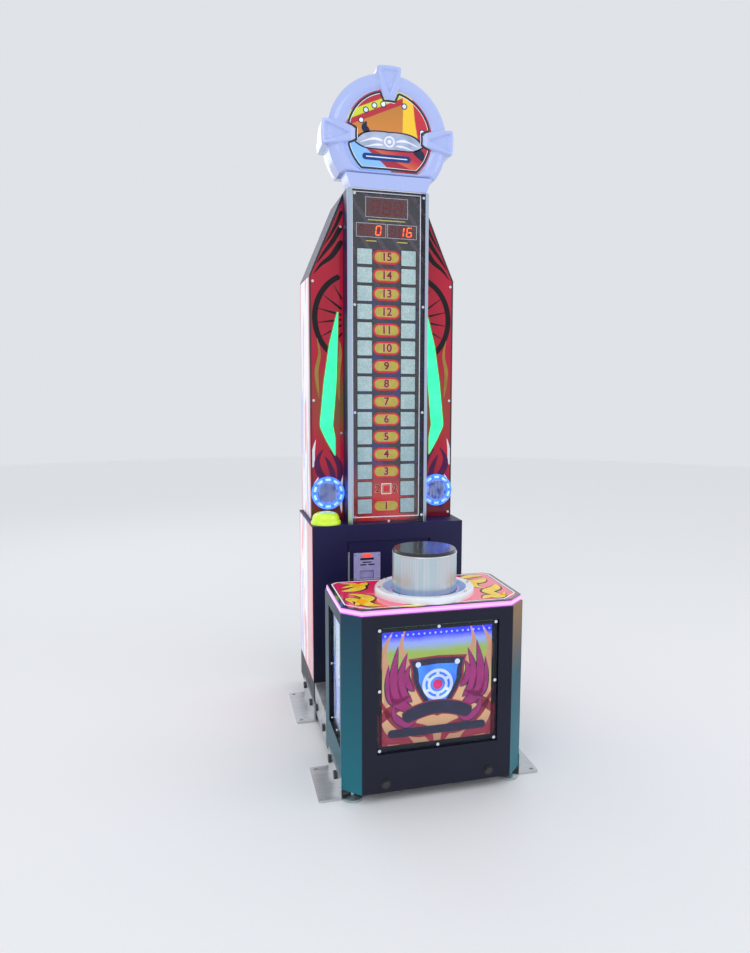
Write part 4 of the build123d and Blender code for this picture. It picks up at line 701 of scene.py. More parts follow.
# ---------------------------------------------------------------- striker
class TESTER_OT_striker(bpy.types.Operator):
    """Brushed sleeve with a rim bead, rubber pad, collar and flange"""

    bl_idname = "tester.striker"
    bl_label = "Striker"

    def execute(self, context):
        axis = middle("striker_sleeve")
        brushed = Finish("brushed_sleeve")
        x, y, z = brushed.place()
        angle = brushed.math("ARCTAN2", y - float(axis[1]), x - float(axis[0]))
        fine = brushed.noise(brushed.vector(angle * 42.0, z * 3.0, 0.0), 1.0, 5.0)
        broad = brushed.noise(brushed.vector(angle * 4.0, z * 1.2, 3.0), 1.0, 3.0)
        # Painted reflections: broad warm orange and teal patches on the brushed steel.
        warm = ((broad - 0.55) * 5.0).clamp()
        cool = ((0.46 - broad) * 6.0).clamp()
        steel = brushed.blend(fine, (0.4, 0.46, 0.52), (0.86, 0.9, 0.94))
        steel = brushed.blend(warm * 0.35, steel, (0.85, 0.62, 0.42))
        steel = brushed.blend(cool * 0.45, steel, (0.2, 0.66, 0.7))
        brushed.set(Base_Color=steel, Metallic=1.0, Roughness=0.24 + fine * 0.16,
                    Normal=brushed.bump(fine, 0.00012, 0.6))
        paint(brushed, "striker_sleeve")

        pad = Finish("pad_rubber")
        x, y, z = pad.place()
        grain = pad.noise(pad.spot(), 1300.0, 2.0)
        # Painted reflection: a blue sheen across the right side of the black rubber pad.
        painted_blue_reflection = ((x + 0.02) / 0.12).clamp() * (0.9 - abs(y - float(axis[1])) / 0.1).clamp()
        pad.set(Base_Color=pad.blend(painted_blue_reflection * 0.75, (0.006, 0.007, 0.01), (0.01, 0.03, 0.3)),
                Roughness=0.18 + grain * 0.1, Coat_Weight=0.6, Coat_Roughness=0.12,
                Normal=pad.bump(grain, 0.00005, 0.4))
        paint(pad, "striker_pad")
        # Painted light: the white flange and the periwinkle collar glow a little, though neither is a lamp.
        paint(plastic("flange_white", (0.74, 0.78, 0.86), (0.9, 0.92, 0.96), 0.14, 0.6, 0.12),
              "striker_flange")
        paint(plastic("collar_periwinkle", (0.34, 0.42, 0.74), (0.46, 0.55, 0.84), 0.3, 0.3, 0.1),
              "striker_collar")

        top = high("striker_sleeve")[2]
        rim = [(86.2, 0.0), (86.9, 0.6), (86.9, 2.4), (86.2, 3.0), (85.2, 3.0), (85.2, 0.0)]
        surfaces("sleeve_rim_bead", [turned_grid((axis[0], axis[1], top - 0.004), (0, 0, 1), rim)],
                 metal("rim_steel", (0.66, 0.7, 0.76), (0.9, 0.92, 0.95), 0.2, (60, 60, 60)),
                 "striker", round_rows=True, smooth=True)
        return {"FINISHED"}


# ---------------------------------------------------------------- table
TABLE_SIDE = 0.2255       # the black margin of the table print starts here
TABLE_FRONT = -0.4195
TABLE_BACK = -0.158
TABLE_FRONT_CUT = 0.6195  # sum of the distances across and forwards on the front corners' margin
TABLE_BACK_CUT = 0.075


class TESTER_OT_table(bpy.types.Operator):
    """Printed table top with flames, its border line and the glowing edge"""

    bl_idname = "tester.table"
    bl_label = "Table"

    def execute(self, context):
        ground = Finish("table_print")
        x, y, z = ground.place()
        spot = ground.spot()
        wash = ground.noise(spot, 9.0, 3.0)
        dots = ground.cells(spot, 900.0)
        edge = (abs(x) - TABLE_SIDE).most(TABLE_FRONT - y).most(y - TABLE_BACK)
        edge = edge.most((abs(x) - y - TABLE_FRONT_CUT) / math.sqrt(2))
        edge = edge.most((abs(x) + y - TABLE_BACK_CUT) / math.sqrt(2))
        red = ground.blend((wash + (dots - 0.4) * 0.1).clamp(), (0.72, 0.008, 0.045), (0.95, 0.035, 0.16))
        ground.set(Base_Color=ground.blend(edge.step(0.0012), red, (0.012, 0.01, 0.016)),
                   Emission_Color=ground.blend(edge.step(0.0012), red, (0.0, 0.0, 0.0)),
                   Emission_Strength=0.25, Roughness=0.1 + wash * 0.05, Coat_Weight=0.8,
                   Coat_Roughness=0.04)
        paint(ground, "table_art_panel")

        glow = Finish("edge_glow")
        x, y, z = glow.place()
        along = glow.noise(glow.vector(x, y, 0.0), 7.0, 2.0)
        band_height = ((z - float(low("table_edge_light")[2])) / 0.013).clamp()
        pink = glow.blend(along, colours().glow, (0.62, 0.22, 1.0))
        hot = glow.blend((1 - abs(band_height - 0.5) * 2.8).clamp() * 0.6, pink, (1.0, 0.72, 1.0))
        glow.shine(hot, 0.62, Roughness=0.2, Coat_Weight=0.6)
        paint(glow, "table_edge_light")

        top = high("table_art_panel")
        sheet = Sheet((0, 0, top[2]), (1, 0, 0), (0, 1, 0), (0, 0, 1))
        black = ink("outline_black", (0.004, 0.003, 0.006), (0.012, 0.01, 0.016))
        yellow = ink("flame_yellow", (0.72, 0.4, 0.01), (0.86, 0.66, 0.05), 0.25)
        white = ink("line_white", (0.8, 0.82, 0.9), (0.92, 0.92, 0.96), 0.3)
        tongues = [
            ([(-206, -392), (-178, -356), (-160, -330), (-176, -300), (-204, -282)], 30),
            ([(-140, -408), (-168, -392), (-188, -350), (-212, -330), (-206, -372)], 24),
            ([(-216, -250), (-186, -246), (-160, -222), (-172, -186), (-206, -170)], 28),
            ([(-132, -176), (-150, -196), (-184, -206), (-210, -218)], 20),
            ([(206, -214), (182, -236), (152, -246), (150, -286), (172, -318)], 32),
            ([(214, -180), (182, -178), (150, -190), (132, -206)], 22),
            ([(212, -282), (196, -318), (166, -344), (178, -380), (206, -392)], 28),
            ([(128, -410), (152, -392), (182, -402), (208, -360)], 20),
            ([(-90, -160), (-40, -156), (20, -164), (84, -156)], 14),
            ([(-110, -422), (-60, -428), (0, -420), (90, -428)], 10),
        ]
        surfaces("table_flame_outlines",
                 [flame(sheet, knots, width + 20, 0.25) for knots, width in tongues], black)
        surfaces("table_flames", [flame(sheet, knots, width + 7, 0.5) for knots, width in tongues], yellow)
        outline = [(-181.5, -424.5), (181.5, -424.5), (229.5, -377.5), (229.5, -173.5), (213.5, -157.5),
                   (-213.5, -157.5), (-229.5, -173.5), (-229.5, -377.5)]
        surfaces("table_border_line", [loop_line(sheet, outline, sizes().line / MM, 0.6)], white,
                 round_rows=True)
        return {"FINISHED"}


# ---------------------------------------------------------------- pedestal windows
def side_sheet(side, y, z):
    """A panel on the left (-1) or right (+1) of the pedestal, read from outside."""
    panel = high("pedestal_art_panels") if side > 0 else low("pedestal_art_panels")
    return Sheet((panel[0], y, z), (0, side, 0), (0, 0, 1), (side, 0, 0))


class TESTER_OT_windows(bpy.types.Operator):
    """Back-lit art of the pedestal windows, their clear covers and the row of lamps"""

    bl_idname = "tester.windows"
    bl_label = "Pedestal Windows"

    def execute(self, context):
        ground = Finish("window_print")
        x, _, z = ground.place()
        spot = ground.spot()
        wash = ground.noise(spot, 12.0, 3.0)
        dots = ground.cells(spot, 1200.0)
        rise = z + (wash - 0.5) * 0.02 + (dots - 0.4) * 0.002
        side = (abs(x) - 0.2).step(0.01)
        tan = ground.blend(((rise - 0.13) / 0.1).clamp(), (0.36, 0.17, 0.1), (0.62, 0.38, 0.2))
        olive = ground.blend(((rise - 0.27) / 0.11).clamp(), tan, (0.28, 0.42, 0.07))
        sky = ground.blend(((rise - 0.385) / 0.03).clamp(), olive, (0.26, 0.34, 0.98))
        violet = ground.blend(((rise - 0.412) / 0.018).clamp(), sky, (0.02, 0.02, 0.8))
        frost = ground.blend(((rise - 0.2) / 0.2).clamp(), (0.35, 0.55, 0.95), (0.62, 0.8, 1.0))
        art = ground.blend(side * 0.7, violet, frost)
        ground.shine(art, 0.42 * sizes().lamp, Roughness=0.3)
        paint(ground, "pedestal_art_panels")
        paint(clear_sheet("window_acrylic"), "pedestal_windows")

        maroon = ink("print_maroon", (0.2, 0.01, 0.035), (0.34, 0.02, 0.06), 0.35)
        tan_ink = ink("print_tan", (0.5, 0.24, 0.15), (0.62, 0.33, 0.2), 0.35)
        purple = ink("print_purple", (0.22, 0.01, 0.12), (0.34, 0.015, 0.18), 0.45)
        navy = ink("print_navy", (0.006, 0.008, 0.04), (0.014, 0.018, 0.075), 0.2)
        blue = ink("print_blue", (0.015, 0.08, 0.55), (0.06, 0.3, 0.95), 0.6)
        silver = ink("print_silver", (0.4, 0.5, 0.78), (0.72, 0.8, 0.95), 0.45)
        magenta = ink("print_magenta", (0.45, 0.01, 0.1), (0.65, 0.02, 0.16), 0.5)

        box_low, box_high = low("pedestal_art_panels"), high("pedestal_art_panels")
        height = (box_low[2] + box_high[2]) / 2
        sheet = front_sheet(0.0, box_low[1], height)
        far = [
            ([(140, -60), (128, 10), (142, 90), (118, 150)], 22),
            ([(92, -10), (80, 50), (96, 110), (84, 158)], 15)]
        near = [
            ([(20, -132), (70, -118), (122, -78), (156, -16)], 24),
            ([(156, -92), (128, -60), (84, -46), (60, -70)], 26),
            ([(60, -158), (96, -134), (140, -126), (158, -60)], 30),
            ([(10, -158), (30, -120), (64, -100), (60, -60)], 24),
            ([(130, -158), (146, -140), (158, -120)], 18)]
        surfaces("window_far_flames", mirrored(sheet, far, 0.2), tan_ink)
        surfaces("window_swirls", mirrored(sheet, near, 0.25), maroon)

        wings = [
            ([(60, -64), (104, -34), (116, 30), (104, 112)], 30),
            ([(66, -40), (92, -12), (96, 40), (80, 92)], 22),
            ([(60, -12), (76, 6), (82, 36), (70, 62)], 15),
            ([(70, -20), (116, -34), (132, 10), (128, 66)], 16),
            ([(52, -84), (82, -96), (112, -74), (116, -40)], 18)]
        surfaces("window_wing_outlines", mirrored(sheet, wings, 0.5, 7), navy)
        surfaces("window_wings", mirrored(sheet, wings, 0.75), purple)

        rows = np.linspace(-78, 74, 40)

        def shield(scale):
            """Half width against height: a pointed foot, straight cheeks and a slightly waisted top."""
            t = (rows + 78) / 152
            wide = 66 * np.power(np.clip(t / 0.62, 0, 1), 0.62) + 9 * np.clip((t - 0.72) / 0.28, 0, 1) ** 2
            wide[0] = wide[-1] = 0.0
            path = np.stack([np.zeros(40), (rows - 2) * scale + 2], 1)
            return path, 2 * wide * scale

        path, wide = shield(1.06)
        surfaces("window_shield_edge", [band(sheet, path, wide, 1.0)], maroon)
        path, wide = shield(0.98)
        surfaces("window_shield", [band(sheet, path, wide, 1.15)], navy)
        path, wide = shield(0.76)
        surfaces("window_shield_field", [band(sheet, path, wide, 1.3)], blue)
        rings = [ring_band(sheet, 0, 2, 37, 8, 1.5), ring_band(sheet, 0, 2, 23, 7, 1.5),
                 oval(sheet, -52, 58, 14, 14, 1.5), oval(sheet, 52, 58, 14, 14, 1.5)]
        for spoke in range(6):
            start = heading(30 + 60 * spoke)
            rings.append(flame(sheet, [start * reach + (0, 2) for reach in (24, 30, 41)], 9, 1.5))
        surfaces("window_roundel", rings, silver)
        surfaces("window_roundel_heart", [oval(sheet, 0, 2, 26, 26, 1.55)], magenta)

        t = np.linspace(-1, 1, 40)
        arc = np.stack([t * 92, -58 - 26 * t ** 2], 1)
        broad = 34 * np.sqrt(np.clip(1 - np.abs(t) ** 14, 0, 1))
        surfaces("window_banner_edge", [band(sheet, arc, broad + np.where(broad > 0, 6, 0), 1.6)], maroon)
        surfaces("window_banner", [band(sheet, arc, broad, 1.8)], navy)
        lower = pill(sheet, 0, -118, 262, 22, 1.7)
        surfaces("window_lower_bar", [lower, pill(sheet, 0, -118, 244, 5, 1.95)], navy)

        for side, name in ((-1, "left"), (1, "right")):
            window = side_sheet(side, -0.295, height)
            tongues = [flame(window, [(-70, -150), (-40, -80), (-66, 0), (-34, 110)], 26, 0.25),
                       flame(window, [(-10, -158), (24, -90), (4, -20), (40, 60)], 30, 0.25),
                       flame(window, [(76, -150), (52, -100), (74, -30), (56, 40)], 22, 0.25)]
            surfaces("window_" + name + "_flames", tongues, blue)
            surfaces("window_" + name + "_roundel",
                     [ring_band(window, 0, 20, 46, 9, 0.5), ring_band(window, 0, 20, 26, 8, 0.5)], silver)

        lamp = Finish("row_lamp")
        flicker = lamp.noise(lamp.spot(), 300.0, 1.0)
        hue = lamp.blend(flicker, (0.03, 0.05, 0.9), (0.16, 0.34, 1.0))
        lamp.shine(hue, 2.4 * sizes().lamp, Roughness=0.25)
        strip_y = box_low[1] - 0.0012
        places = np.linspace(-0.138, 0.138, 20)
        dome = [(0.0, 1.6), (1.3, 1.45), (2.4, 0.9), (2.9, 0.0)]
        surfaces("window_lamp_row", [turned_grid((u, strip_y, box_high[2] - 0.016), (0, -1, 0), dome, 20)
                                     for u in places], lamp, round_rows=True,
                 round_columns=False, smooth=True)
        return {"FINISHED"}


# ---------------------------------------------------------------- tower
WING_INSIDE = 131         # the wing prints end this far from the column's middle
WHEEL_MIDDLE = (96, 1262)
WHEEL_REACH = (122, 136)  # half width and half height of the wheel
WHEEL_SPOKES = (-52, -30, -8, 14, 36, 58)


class TESTER_OT_tower(bpy.types.Operator):
    """Printed wings and sides of the tower"""

    bl_idname = "tester.tower"
    bl_label = "Tower Prints"

    def execute(self, context):
        ground = Finish("wing_print")
        x, y, z = ground.place()
        spot = ground.spot()
        wash = ground.noise(ground.vector(x * 3.0, y, z), 5.0, 4.0)
        dots = ground.cells(spot, 1100.0)
        rise = z + (wash - 0.5) * 0.1
        outer = ((abs(x) - 0.13) / 0.1).clamp()
        crimson = ground.blend(wash, colours().crimson, (0.6, 0.012, 0.05))
        olive = ((0.13 - abs(rise - 0.99)) / 0.1).clamp() * (1.1 - outer * 0.8).clamp()
        body = ground.blend(olive * 0.85, crimson, (0.17, 0.13, 0.035))
        foot = ground.blend(((0.8 - rise) / 0.12).clamp() * 0.8, body, (0.12, 0.004, 0.016))
        art = ground.blend((dots * 0.12).clamp(), foot, (0.02, 0.0, 0.01))
        ground.shine(art, 0.1 * sizes().lamp, Roughness=0.14, Coat_Weight=0.3, Coat_Roughness=0.05,
                     Specular_IOR_Level=0.3)
        paint(ground, "wing_art_panels")

        side = Finish("side_print")
        x, y, z = side.place()
        spot = side.spot()
        flow = side.noise(side.vector(x, y * 5.0, z * 1.3 + y * 1.5), 3.0, 3.0, 0.45)
        dots = side.cells(spot, 1100.0)
        lick = flow + (dots - 0.4) * 0.02
        art = side.blend((lick - 0.44).step(0.03), (0.92, 0.1, 0.16), (0.94, 0.9, 0.94))
        art = side.blend((lick - 0.6).step(0.03), art, (0.3, 0.42, 0.9))
        edge = (y - 0.235).step(0.02) * (0.415 - y).step(0.02)
        art = side.blend((1 - edge) * 0.8, art, (0.62, 0.012, 0.05))
        side.shine(art, 0.3 * sizes().lamp, Roughness=0.16, Coat_Weight=0.6, Coat_Roughness=0.06)
        paint(side, "tower_side_panels")

        face = low("wing_art_panels")[1]
        black = ink("wing_black", (0.004, 0.003, 0.005), (0.014, 0.008, 0.014))
        claw = ink("wing_claw", (0.05, 0.004, 0.05), (0.1, 0.01, 0.085), 0.2)
        grey = ink("wing_grey", (0.55, 0.52, 0.6), (0.8, 0.78, 0.84), 0.3)
        mint = ink("wing_mint", colours().mint, (0.06, 1.0, 0.42), 0.85)
        olive = ink("wing_olive", (0.22, 0.15, 0.03), (0.34, 0.22, 0.05), 0.3)
        sheet = front_sheet(0.0, face, 0.0)
        wheel, bolts, edges = [], [], []
        for m in (-1, 1):
            turn = np.linspace(0, 1, 60)
            swing = np.radians(-70 + 140 * turn)
            arc = np.stack([m * (WHEEL_MIDDLE[0] + WHEEL_REACH[0] * np.cos(swing)),
                            WHEEL_MIDDLE[1] + WHEEL_REACH[1] * np.sin(swing)], 1)
            arc = arc[np.abs(arc[:, 0]) > WING_INSIDE]
            wide = np.full(len(arc), 17.0)
            wide[0] = wide[-1] = 0.0
            wheel.append(band(sheet, arc, wide, 0.25))
            hub = WHEEL_MIDDLE * np.array([m, 1.0])
            for degrees in WHEEL_SPOKES:
                way = heading(degrees) * (m, 1)
                first = max(36.0 / max(abs(way[0]), 0.3), 30.0)
                wheel.append(flame(sheet, [hub + way * first, hub + way * 80, hub + way * 122], 7, 0.3,
                                   full=0.1))
            spine = np.array([(m * 146, 1280), (m * 160, 1180), (m * 171, 1060), (m * 184, 925),
                              (m * 170, 880), (m * 156, 826)], float)
            wide = np.array([3, 26, 40, 42, 30, 0.0])
            dense = np.linspace(0, len(spine) - 1, 60)
            knots = np.arange(len(spine))
            line = np.stack([np.interp(dense, knots, spine[:, i]) for i in (0, 1)], 1)
            widths = np.interp(dense, knots, wide)
            edges.append(band(sheet, line, np.where(widths > 0, widths + 6, 0.0), 0.5))
            bolts.append(band(sheet, line, widths, 0.75))
        stripes = [
            ([(222, 1392), (196, 1424), (162, 1452), (131, 1500)], 17),
            ([(212, 1424), (190, 1456), (160, 1496), (131, 1546)], 15),
            ([(190, 1478), (168, 1512), (148, 1548), (131, 1590)], 11)]
        tongues = [
            ([(206, 1010), (214, 1090), (204, 1150), (212, 1200)], 12),
            ([(142, 1000), (146, 1080), (138, 1150), (140, 1190)], 14)]
        claws = [
            ([(150, 720), (140, 780), (154, 820), (176, 846)], 20),
            ([(176, 742), (206, 772), (214, 812), (194, 850)], 22),
            ([(192, 700), (164, 752), (176, 800), (190, 826)], 18),
            ([(210, 640), (184, 664), (150, 672), (136, 700)], 20)]
        sharp_shards = [
            ([(228, 790), (226, 840), (218, 880)], 12)]
        long_shards = [
            ([(136, 640), (140, 700), (136, 760), (134, 800)], 12),
            ([(226, 690), (222, 730), (210, 760)], 12)]
        surfaces("wing_stripes", mirrored(sheet, stripes, 0.25, full=0.9), black)
        surfaces("wing_wheels", wheel, black)
        surfaces("wing_tongues", mirrored(sheet, tongues, 0.3), olive)
        surfaces("wing_bolt_edges", edges, olive)
        surfaces("wing_bolts", bolts, mint)
        surfaces("wing_shards", mirrored(sheet, sharp_shards, 0.3, full=0.2)
                 + mirrored(sheet, long_shards, 0.3), grey)
        surfaces("wing_claws", mirrored(sheet, claws, 0.4), claw)
        return {"FINISHED"}


# ---------------------------------------------------------------- column
ROWS = 15
MARKED_ROW = 1        # this row has a square mark between two small numbers
TILE = 46.0           # side of a lamp tile
TILE_X = 70           # middle of a tile, left and right of the column's middle
NUMBER_X = 0.028      # place of the marked row's two numbers
DISPLAYS = ((0, 1595, 134, 60), (-49, 1526, 94, 42), (49, 1526, 94, 42))
SEGMENTS = {"0": "abcdef", "1": "bc", "6": "acdefg", "8": "abcdefg"}


def digit(sheet, text, u, v, wide, tall, lift):
    """Seven-bar figure: each bar is a short path with pointed ends, and the figure leans a little."""
    half = tall / 2
    thick = wide * 0.17
    ends = {"a": ((0, 1), (1, 1)), "d": ((0, -1), (1, -1)), "g": ((0, 0), (1, 0)), "b": ((1, 0), (1, 1)),
            "c": ((1, -1), (1, 0)), "e": ((0, -1), (0, 0)), "f": ((0, 0), (0, 1))}
    bars = []
    for name in SEGMENTS[text]:
        points = []
        for right, level in ends[name]:
            rise = level * (half - thick / 2)
            points.append(np.array([u + (right - 0.5) * (wide - thick) + rise * 0.12, v + rise]))
        way = (points[1] - points[0]) / np.linalg.norm(points[1] - points[0])
        start, end = points[0] + way * thick * 0.15, points[1] - way * thick * 0.15
        path = np.stack([start, start + way * thick * 0.5, end - way * thick * 0.5, end])
        bars.append(band(sheet, path, np.array([0, thick, thick, 0]), lift, 0.2))
    return bars


class TESTER_OT_column(bpy.types.Operator):
    """Score column: its print, border lines, lamp tiles, numbers, displays and clear cover"""

    bl_idname = "tester.column"
    bl_label = "Score Column"

    def execute(self, context):
        ground = Finish("column_print")
        x, _, z = ground.place()
        spot = ground.spot()
        wash = ground.noise(spot, 14.0, 4.0)
        slant = ((z * 1.0 + x * 1.4) * 14.0).fraction()
        bars = (0.14 - abs(slant - 0.5)).step(0.02) * ((z - 1.28) / 0.2).clamp()
        dark = ground.blend(wash, (0.004, 0.004, 0.009), (0.016, 0.014, 0.03))
        top = ground.blend(bars * 0.6, dark, (0.075, 0.05, 0.09))
        # Painted reflection: a deep-blue patch at middle height stands in for light strips reflected in the
        # clear cover.
        painted_cover_reflection = ((wash - 0.5) * 9.0).clamp() * (0.3 - abs(z - 1.0)).step(0.2)
        blue = ground.blend(painted_cover_reflection * 0.55, top, (0.01, 0.016, 0.22))
        low_red = ((0.8 - z + (wash - 0.5) * 0.12) / 0.08).clamp()
        art = ground.blend(low_red * (0.09 - abs(x + 0.01)).step(0.06), blue, (0.55, 0.008, 0.012))
        ground.shine(art, 0.25 * sizes().lamp, Roughness=0.16, Coat_Weight=0.7, Coat_Roughness=0.05)
        paint(ground, "column_face_panel")
        paint(clear_sheet("column_acrylic"), "column_cover")

        tile = Finish("frosted_tile")
        x, _, z = tile.place()
        spot = tile.spot()
        cloud = tile.noise(spot, 38.0, 4.0)
        crackle = tile.cells(spot, 170.0)
        shade = (cloud * 0.7 + crackle * 0.5).clamp()
        cool = ((1.1 - z) / 0.35).clamp()
        frost = tile.blend(shade, (0.2, 0.36, 0.38), (0.62, 0.8, 0.82))
        frost = tile.blend(cool * 0.35, frost, (0.22, 0.42, 0.55))
        tile.shine(frost, 0.22 * sizes().lamp, Roughness=0.35 + cloud * 0.2,
                   Normal=tile.bump(crackle, 0.0002, 0.4))
        paint(tile, "lamp_tiles")

        plate = Finish("number_print")
        spot = plate.spot()
        wash = plate.noise(spot, 60.0, 3.0)
        dots = plate.cells(spot, 1300.0)
        gold = plate.blend((wash + (dots - 0.4) * 0.15).clamp(), (0.34, 0.26, 0.02), (0.6, 0.5, 0.055))
        plate.shine(gold, 0.28 * sizes().lamp, Roughness=0.2, Coat_Weight=0.5)
        paint(plate, "number_plates")

        plates = low("number_plates")
        face = low("column_face_panel")[1]
        sheet = front_sheet(0.0, face, 0.0)
        front = front_sheet(0.0, plates[1], 0.0)
        tiles_low, tiles_high = low("lamp_tiles")[2] / MM, high("lamp_tiles")[2] / MM
        pitch = (tiles_high - tiles_low - TILE) / (ROWS - 1)
        levels = [tiles_low + TILE / 2 + row * pitch for row in range(ROWS)]

        white = ink("column_line", (0.7, 0.74, 0.84), (0.9, 0.92, 0.97), 0.4)
        red = ink("pill_red", (0.5, 0.006, 0.02), (0.7, 0.02, 0.05), 0.3)
        dark_red = ink("numeral_red", (0.16, 0.002, 0.008), (0.28, 0.006, 0.018), 0.1)
        pink = ink("numeral_edge", (0.72, 0.35, 0.3), (0.86, 0.55, 0.42), 0.25)
        steel = ink("tile_edge", (0.01, 0.012, 0.018), (0.05, 0.055, 0.07))
        border = [(-108, 632), (108, 632), (108, 1638), (-108, 1638)]
        surfaces("column_border", [loop_line(sheet, border, sizes().line / MM * 0.8, 0.4)], white,
                 round_rows=True)

        surfaces("tile_edges", [box_line(sheet, u, v, TILE + 2.5, TILE + 2.5, 2.4, 0.5)
                                for v in levels for u in (-TILE_X, TILE_X)], steel,
                 round_rows=True)
        rims = [pill(sheet, 0, v, 88, 42, 0.5) for row, v in enumerate(levels) if row != MARKED_ROW]
        surfaces("number_rims", rims, red)
        lift = float(plates[1]) - 0.0002
        marks = [(str(row + 1), 0.0, v * MM) for row, v in enumerate(levels) if row != MARKED_ROW]
        marks += [("2", m * NUMBER_X, levels[MARKED_ROW] * MM) for m in (-1, 1)]
        numerals("scale_number_edges", marks, sizes().numeral, 0.0019, lift, pink)
        numerals("scale_numbers", marks, sizes().numeral, 0.0009, lift - 0.0003, dark_red)
        marked = box_line(sheet, 0, levels[MARKED_ROW], 30, 32, 2.2, 3.2)
        surfaces("marked_row_frame", [marked], white, round_rows=True)
        surfaces("marked_row_heart", [block(front, 0, levels[MARKED_ROW], 19, 21, 0.3)], red)

        lens = Finish("display_filter")
        spot = lens.spot()
        mesh_grain = lens.cells(spot, 500.0)
        cloud = lens.noise(spot, 30.0, 2.0)
        filter_red = lens.blend(cloud, (0.04, 0.001, 0.005), (0.085, 0.004, 0.012))
        lens.shine(filter_red, 0.35, Coat_Weight=0.8, Roughness=0.15, Coat_Roughness=0.05,
                   Normal=lens.bump(mesh_grain, 0.00003, 0.3))
        paint(lens, "score_displays")
        shown = front_sheet(0.0, low("score_displays")[1], 0.0)
        chrome = metal("display_frame", (0.55, 0.6, 0.72), (0.86, 0.88, 0.95), 0.2, (200, 200, 200))

        surfaces("display_frames", [box_line(shown, *shape, 2.6, 0.6, 1.0) for shape in DISPLAYS], chrome,
                 round_rows=True)
        idle = ink("figure_idle", (0.11, 0.006, 0.014), (0.17, 0.012, 0.024), 0.3)
        lit = Finish("figure_lit")
        heat = lit.noise(lit.spot(), 160.0, 2.0)
        fire = lit.blend(((heat - 0.42) * 4.0).clamp(), colours().figure, (1.0, 0.2, 0.02))
        lit.shine(fire, 2.2 * sizes().lamp, Roughness=0.3)
        off, on = [], []
        for display, text, start, pitch, wide, tall in (
                (DISPLAYS[0], "   ", -36, 36, 26, 42), (DISPLAYS[1], "  0", -29, 26, 17, 29),
                (DISPLAYS[2], " 16", -29, 26, 17, 29)):
            v = display[1]
            for index, mark in enumerate(text):
                u = display[0] + start + pitch * index
                off += digit(shown, "8", u, v, wide, tall, 0.3)
                if mark != " ":
                    on += digit(shown, mark, u, v, wide + 1, tall + 1, 0.6)
        surfaces("idle_figures", off, idle)
        surfaces("lit_figures", on, lit)
        gold_line = ink("caption_gold", (0.42, 0.36, 0.05), (0.62, 0.56, 0.12), 0.3)
        captions = [pill(sheet, 0, 1557, 118, 3.0, 0.4), pill(sheet, -49, 1494, 34, 3.0, 0.4),
                    pill(sheet, 49, 1494, 34, 3.0, 0.4)]
        surfaces("caption_bars", captions, gold_line)
        return {"FINISHED"}


# ---------------------------------------------------------------- speakers and start button
class TESTER_OT_speakers(bpy.types.Operator):
    """Lit rings, grilles and rims of the two speakers"""

    bl_idname = "tester.speakers"
    bl_label = "Speakers"

    def execute(self, context):
        span = high("speaker_rings")[0]
        radius = (high("speaker_rings")[2] - low("speaker_rings")[2]) / 2
        centre_x = span - radius
        centre_z = middle("speaker_rings")[2]
        face = low("speaker_rings")[1]

        ring = Finish("lit_ring")
        x, _, z = ring.place()
        across = abs(x) - float(centre_x)
        up = z - float(centre_z)
        reach = (across * across + up * up).root()
        turn = ring.math("ARCTAN2", up, across)
        part = (turn * (10.0 / TAU)).fraction()
        bright = (0.3 - abs(part - 0.5)).step(0.12) * (0.0035 - abs(reach - 0.0435)).step(0.003)
        cloud = ring.noise(ring.spot(), 90.0, 3.0)
        deep = ring.blend(cloud, colours().ring, (0.03, 0.2, 1.0))
        light = ring.blend(bright * 0.75, deep, (0.46, 0.72, 1.0))
        ring.shine(light, 1.1 * sizes().lamp, Roughness=0.2, Coat_Weight=0.6)
        paint(ring, "speaker_rings")

        grille = Finish("diamond_grille")
        x, _, z = grille.place()
        u = (abs(x) - float(centre_x)) * 170.0
        v = (z - float(centre_z)) * 170.0
        weave = (abs((u + v).fraction() - 0.5) * abs((u - v).fraction() - 0.5) * 4.0).clamp()
        cloud = grille.noise(grille.spot(), 60.0, 3.0)
        hole = (weave - 0.22).step(0.1)
        patch = (cloud - 0.45).step(0.1)
        mesh_colour = grille.blend(patch, (0.1, 0.18, 0.62), (0.42, 0.52, 0.9))
        shade = grille.blend(hole * 0.8, mesh_colour, (0.02, 0.02, 0.08))
        # Painted light: the grille glows, though it is no lamp.
        grille.shine(shade, 0.35, Metallic=0.5, Roughness=0.4, Normal=grille.bump(weave, 0.0006, 0.6))
        paint(grille, "speaker_grilles")

        rim = plastic("ring_lip", (0.03, 0.1, 0.95), (0.12, 0.35, 1.0), 0.15, 0.8, 1.0, 200.0)
        lips = []
        for side in (-1, 1):
            centre = (side * centre_x, face, centre_z)
            lips += [turned_grid(centre, (0, -1, 0), bead(radius / MM - 2.2, 4.2, 0.0, 2.0), 128),
                     turned_grid(centre, (0, -1, 0), bead(36.4, 3.2, 0.0, 1.6), 128)]
        surfaces("speaker_lips", lips, rim, round_rows=True, smooth=True)
        return {"FINISHED"}


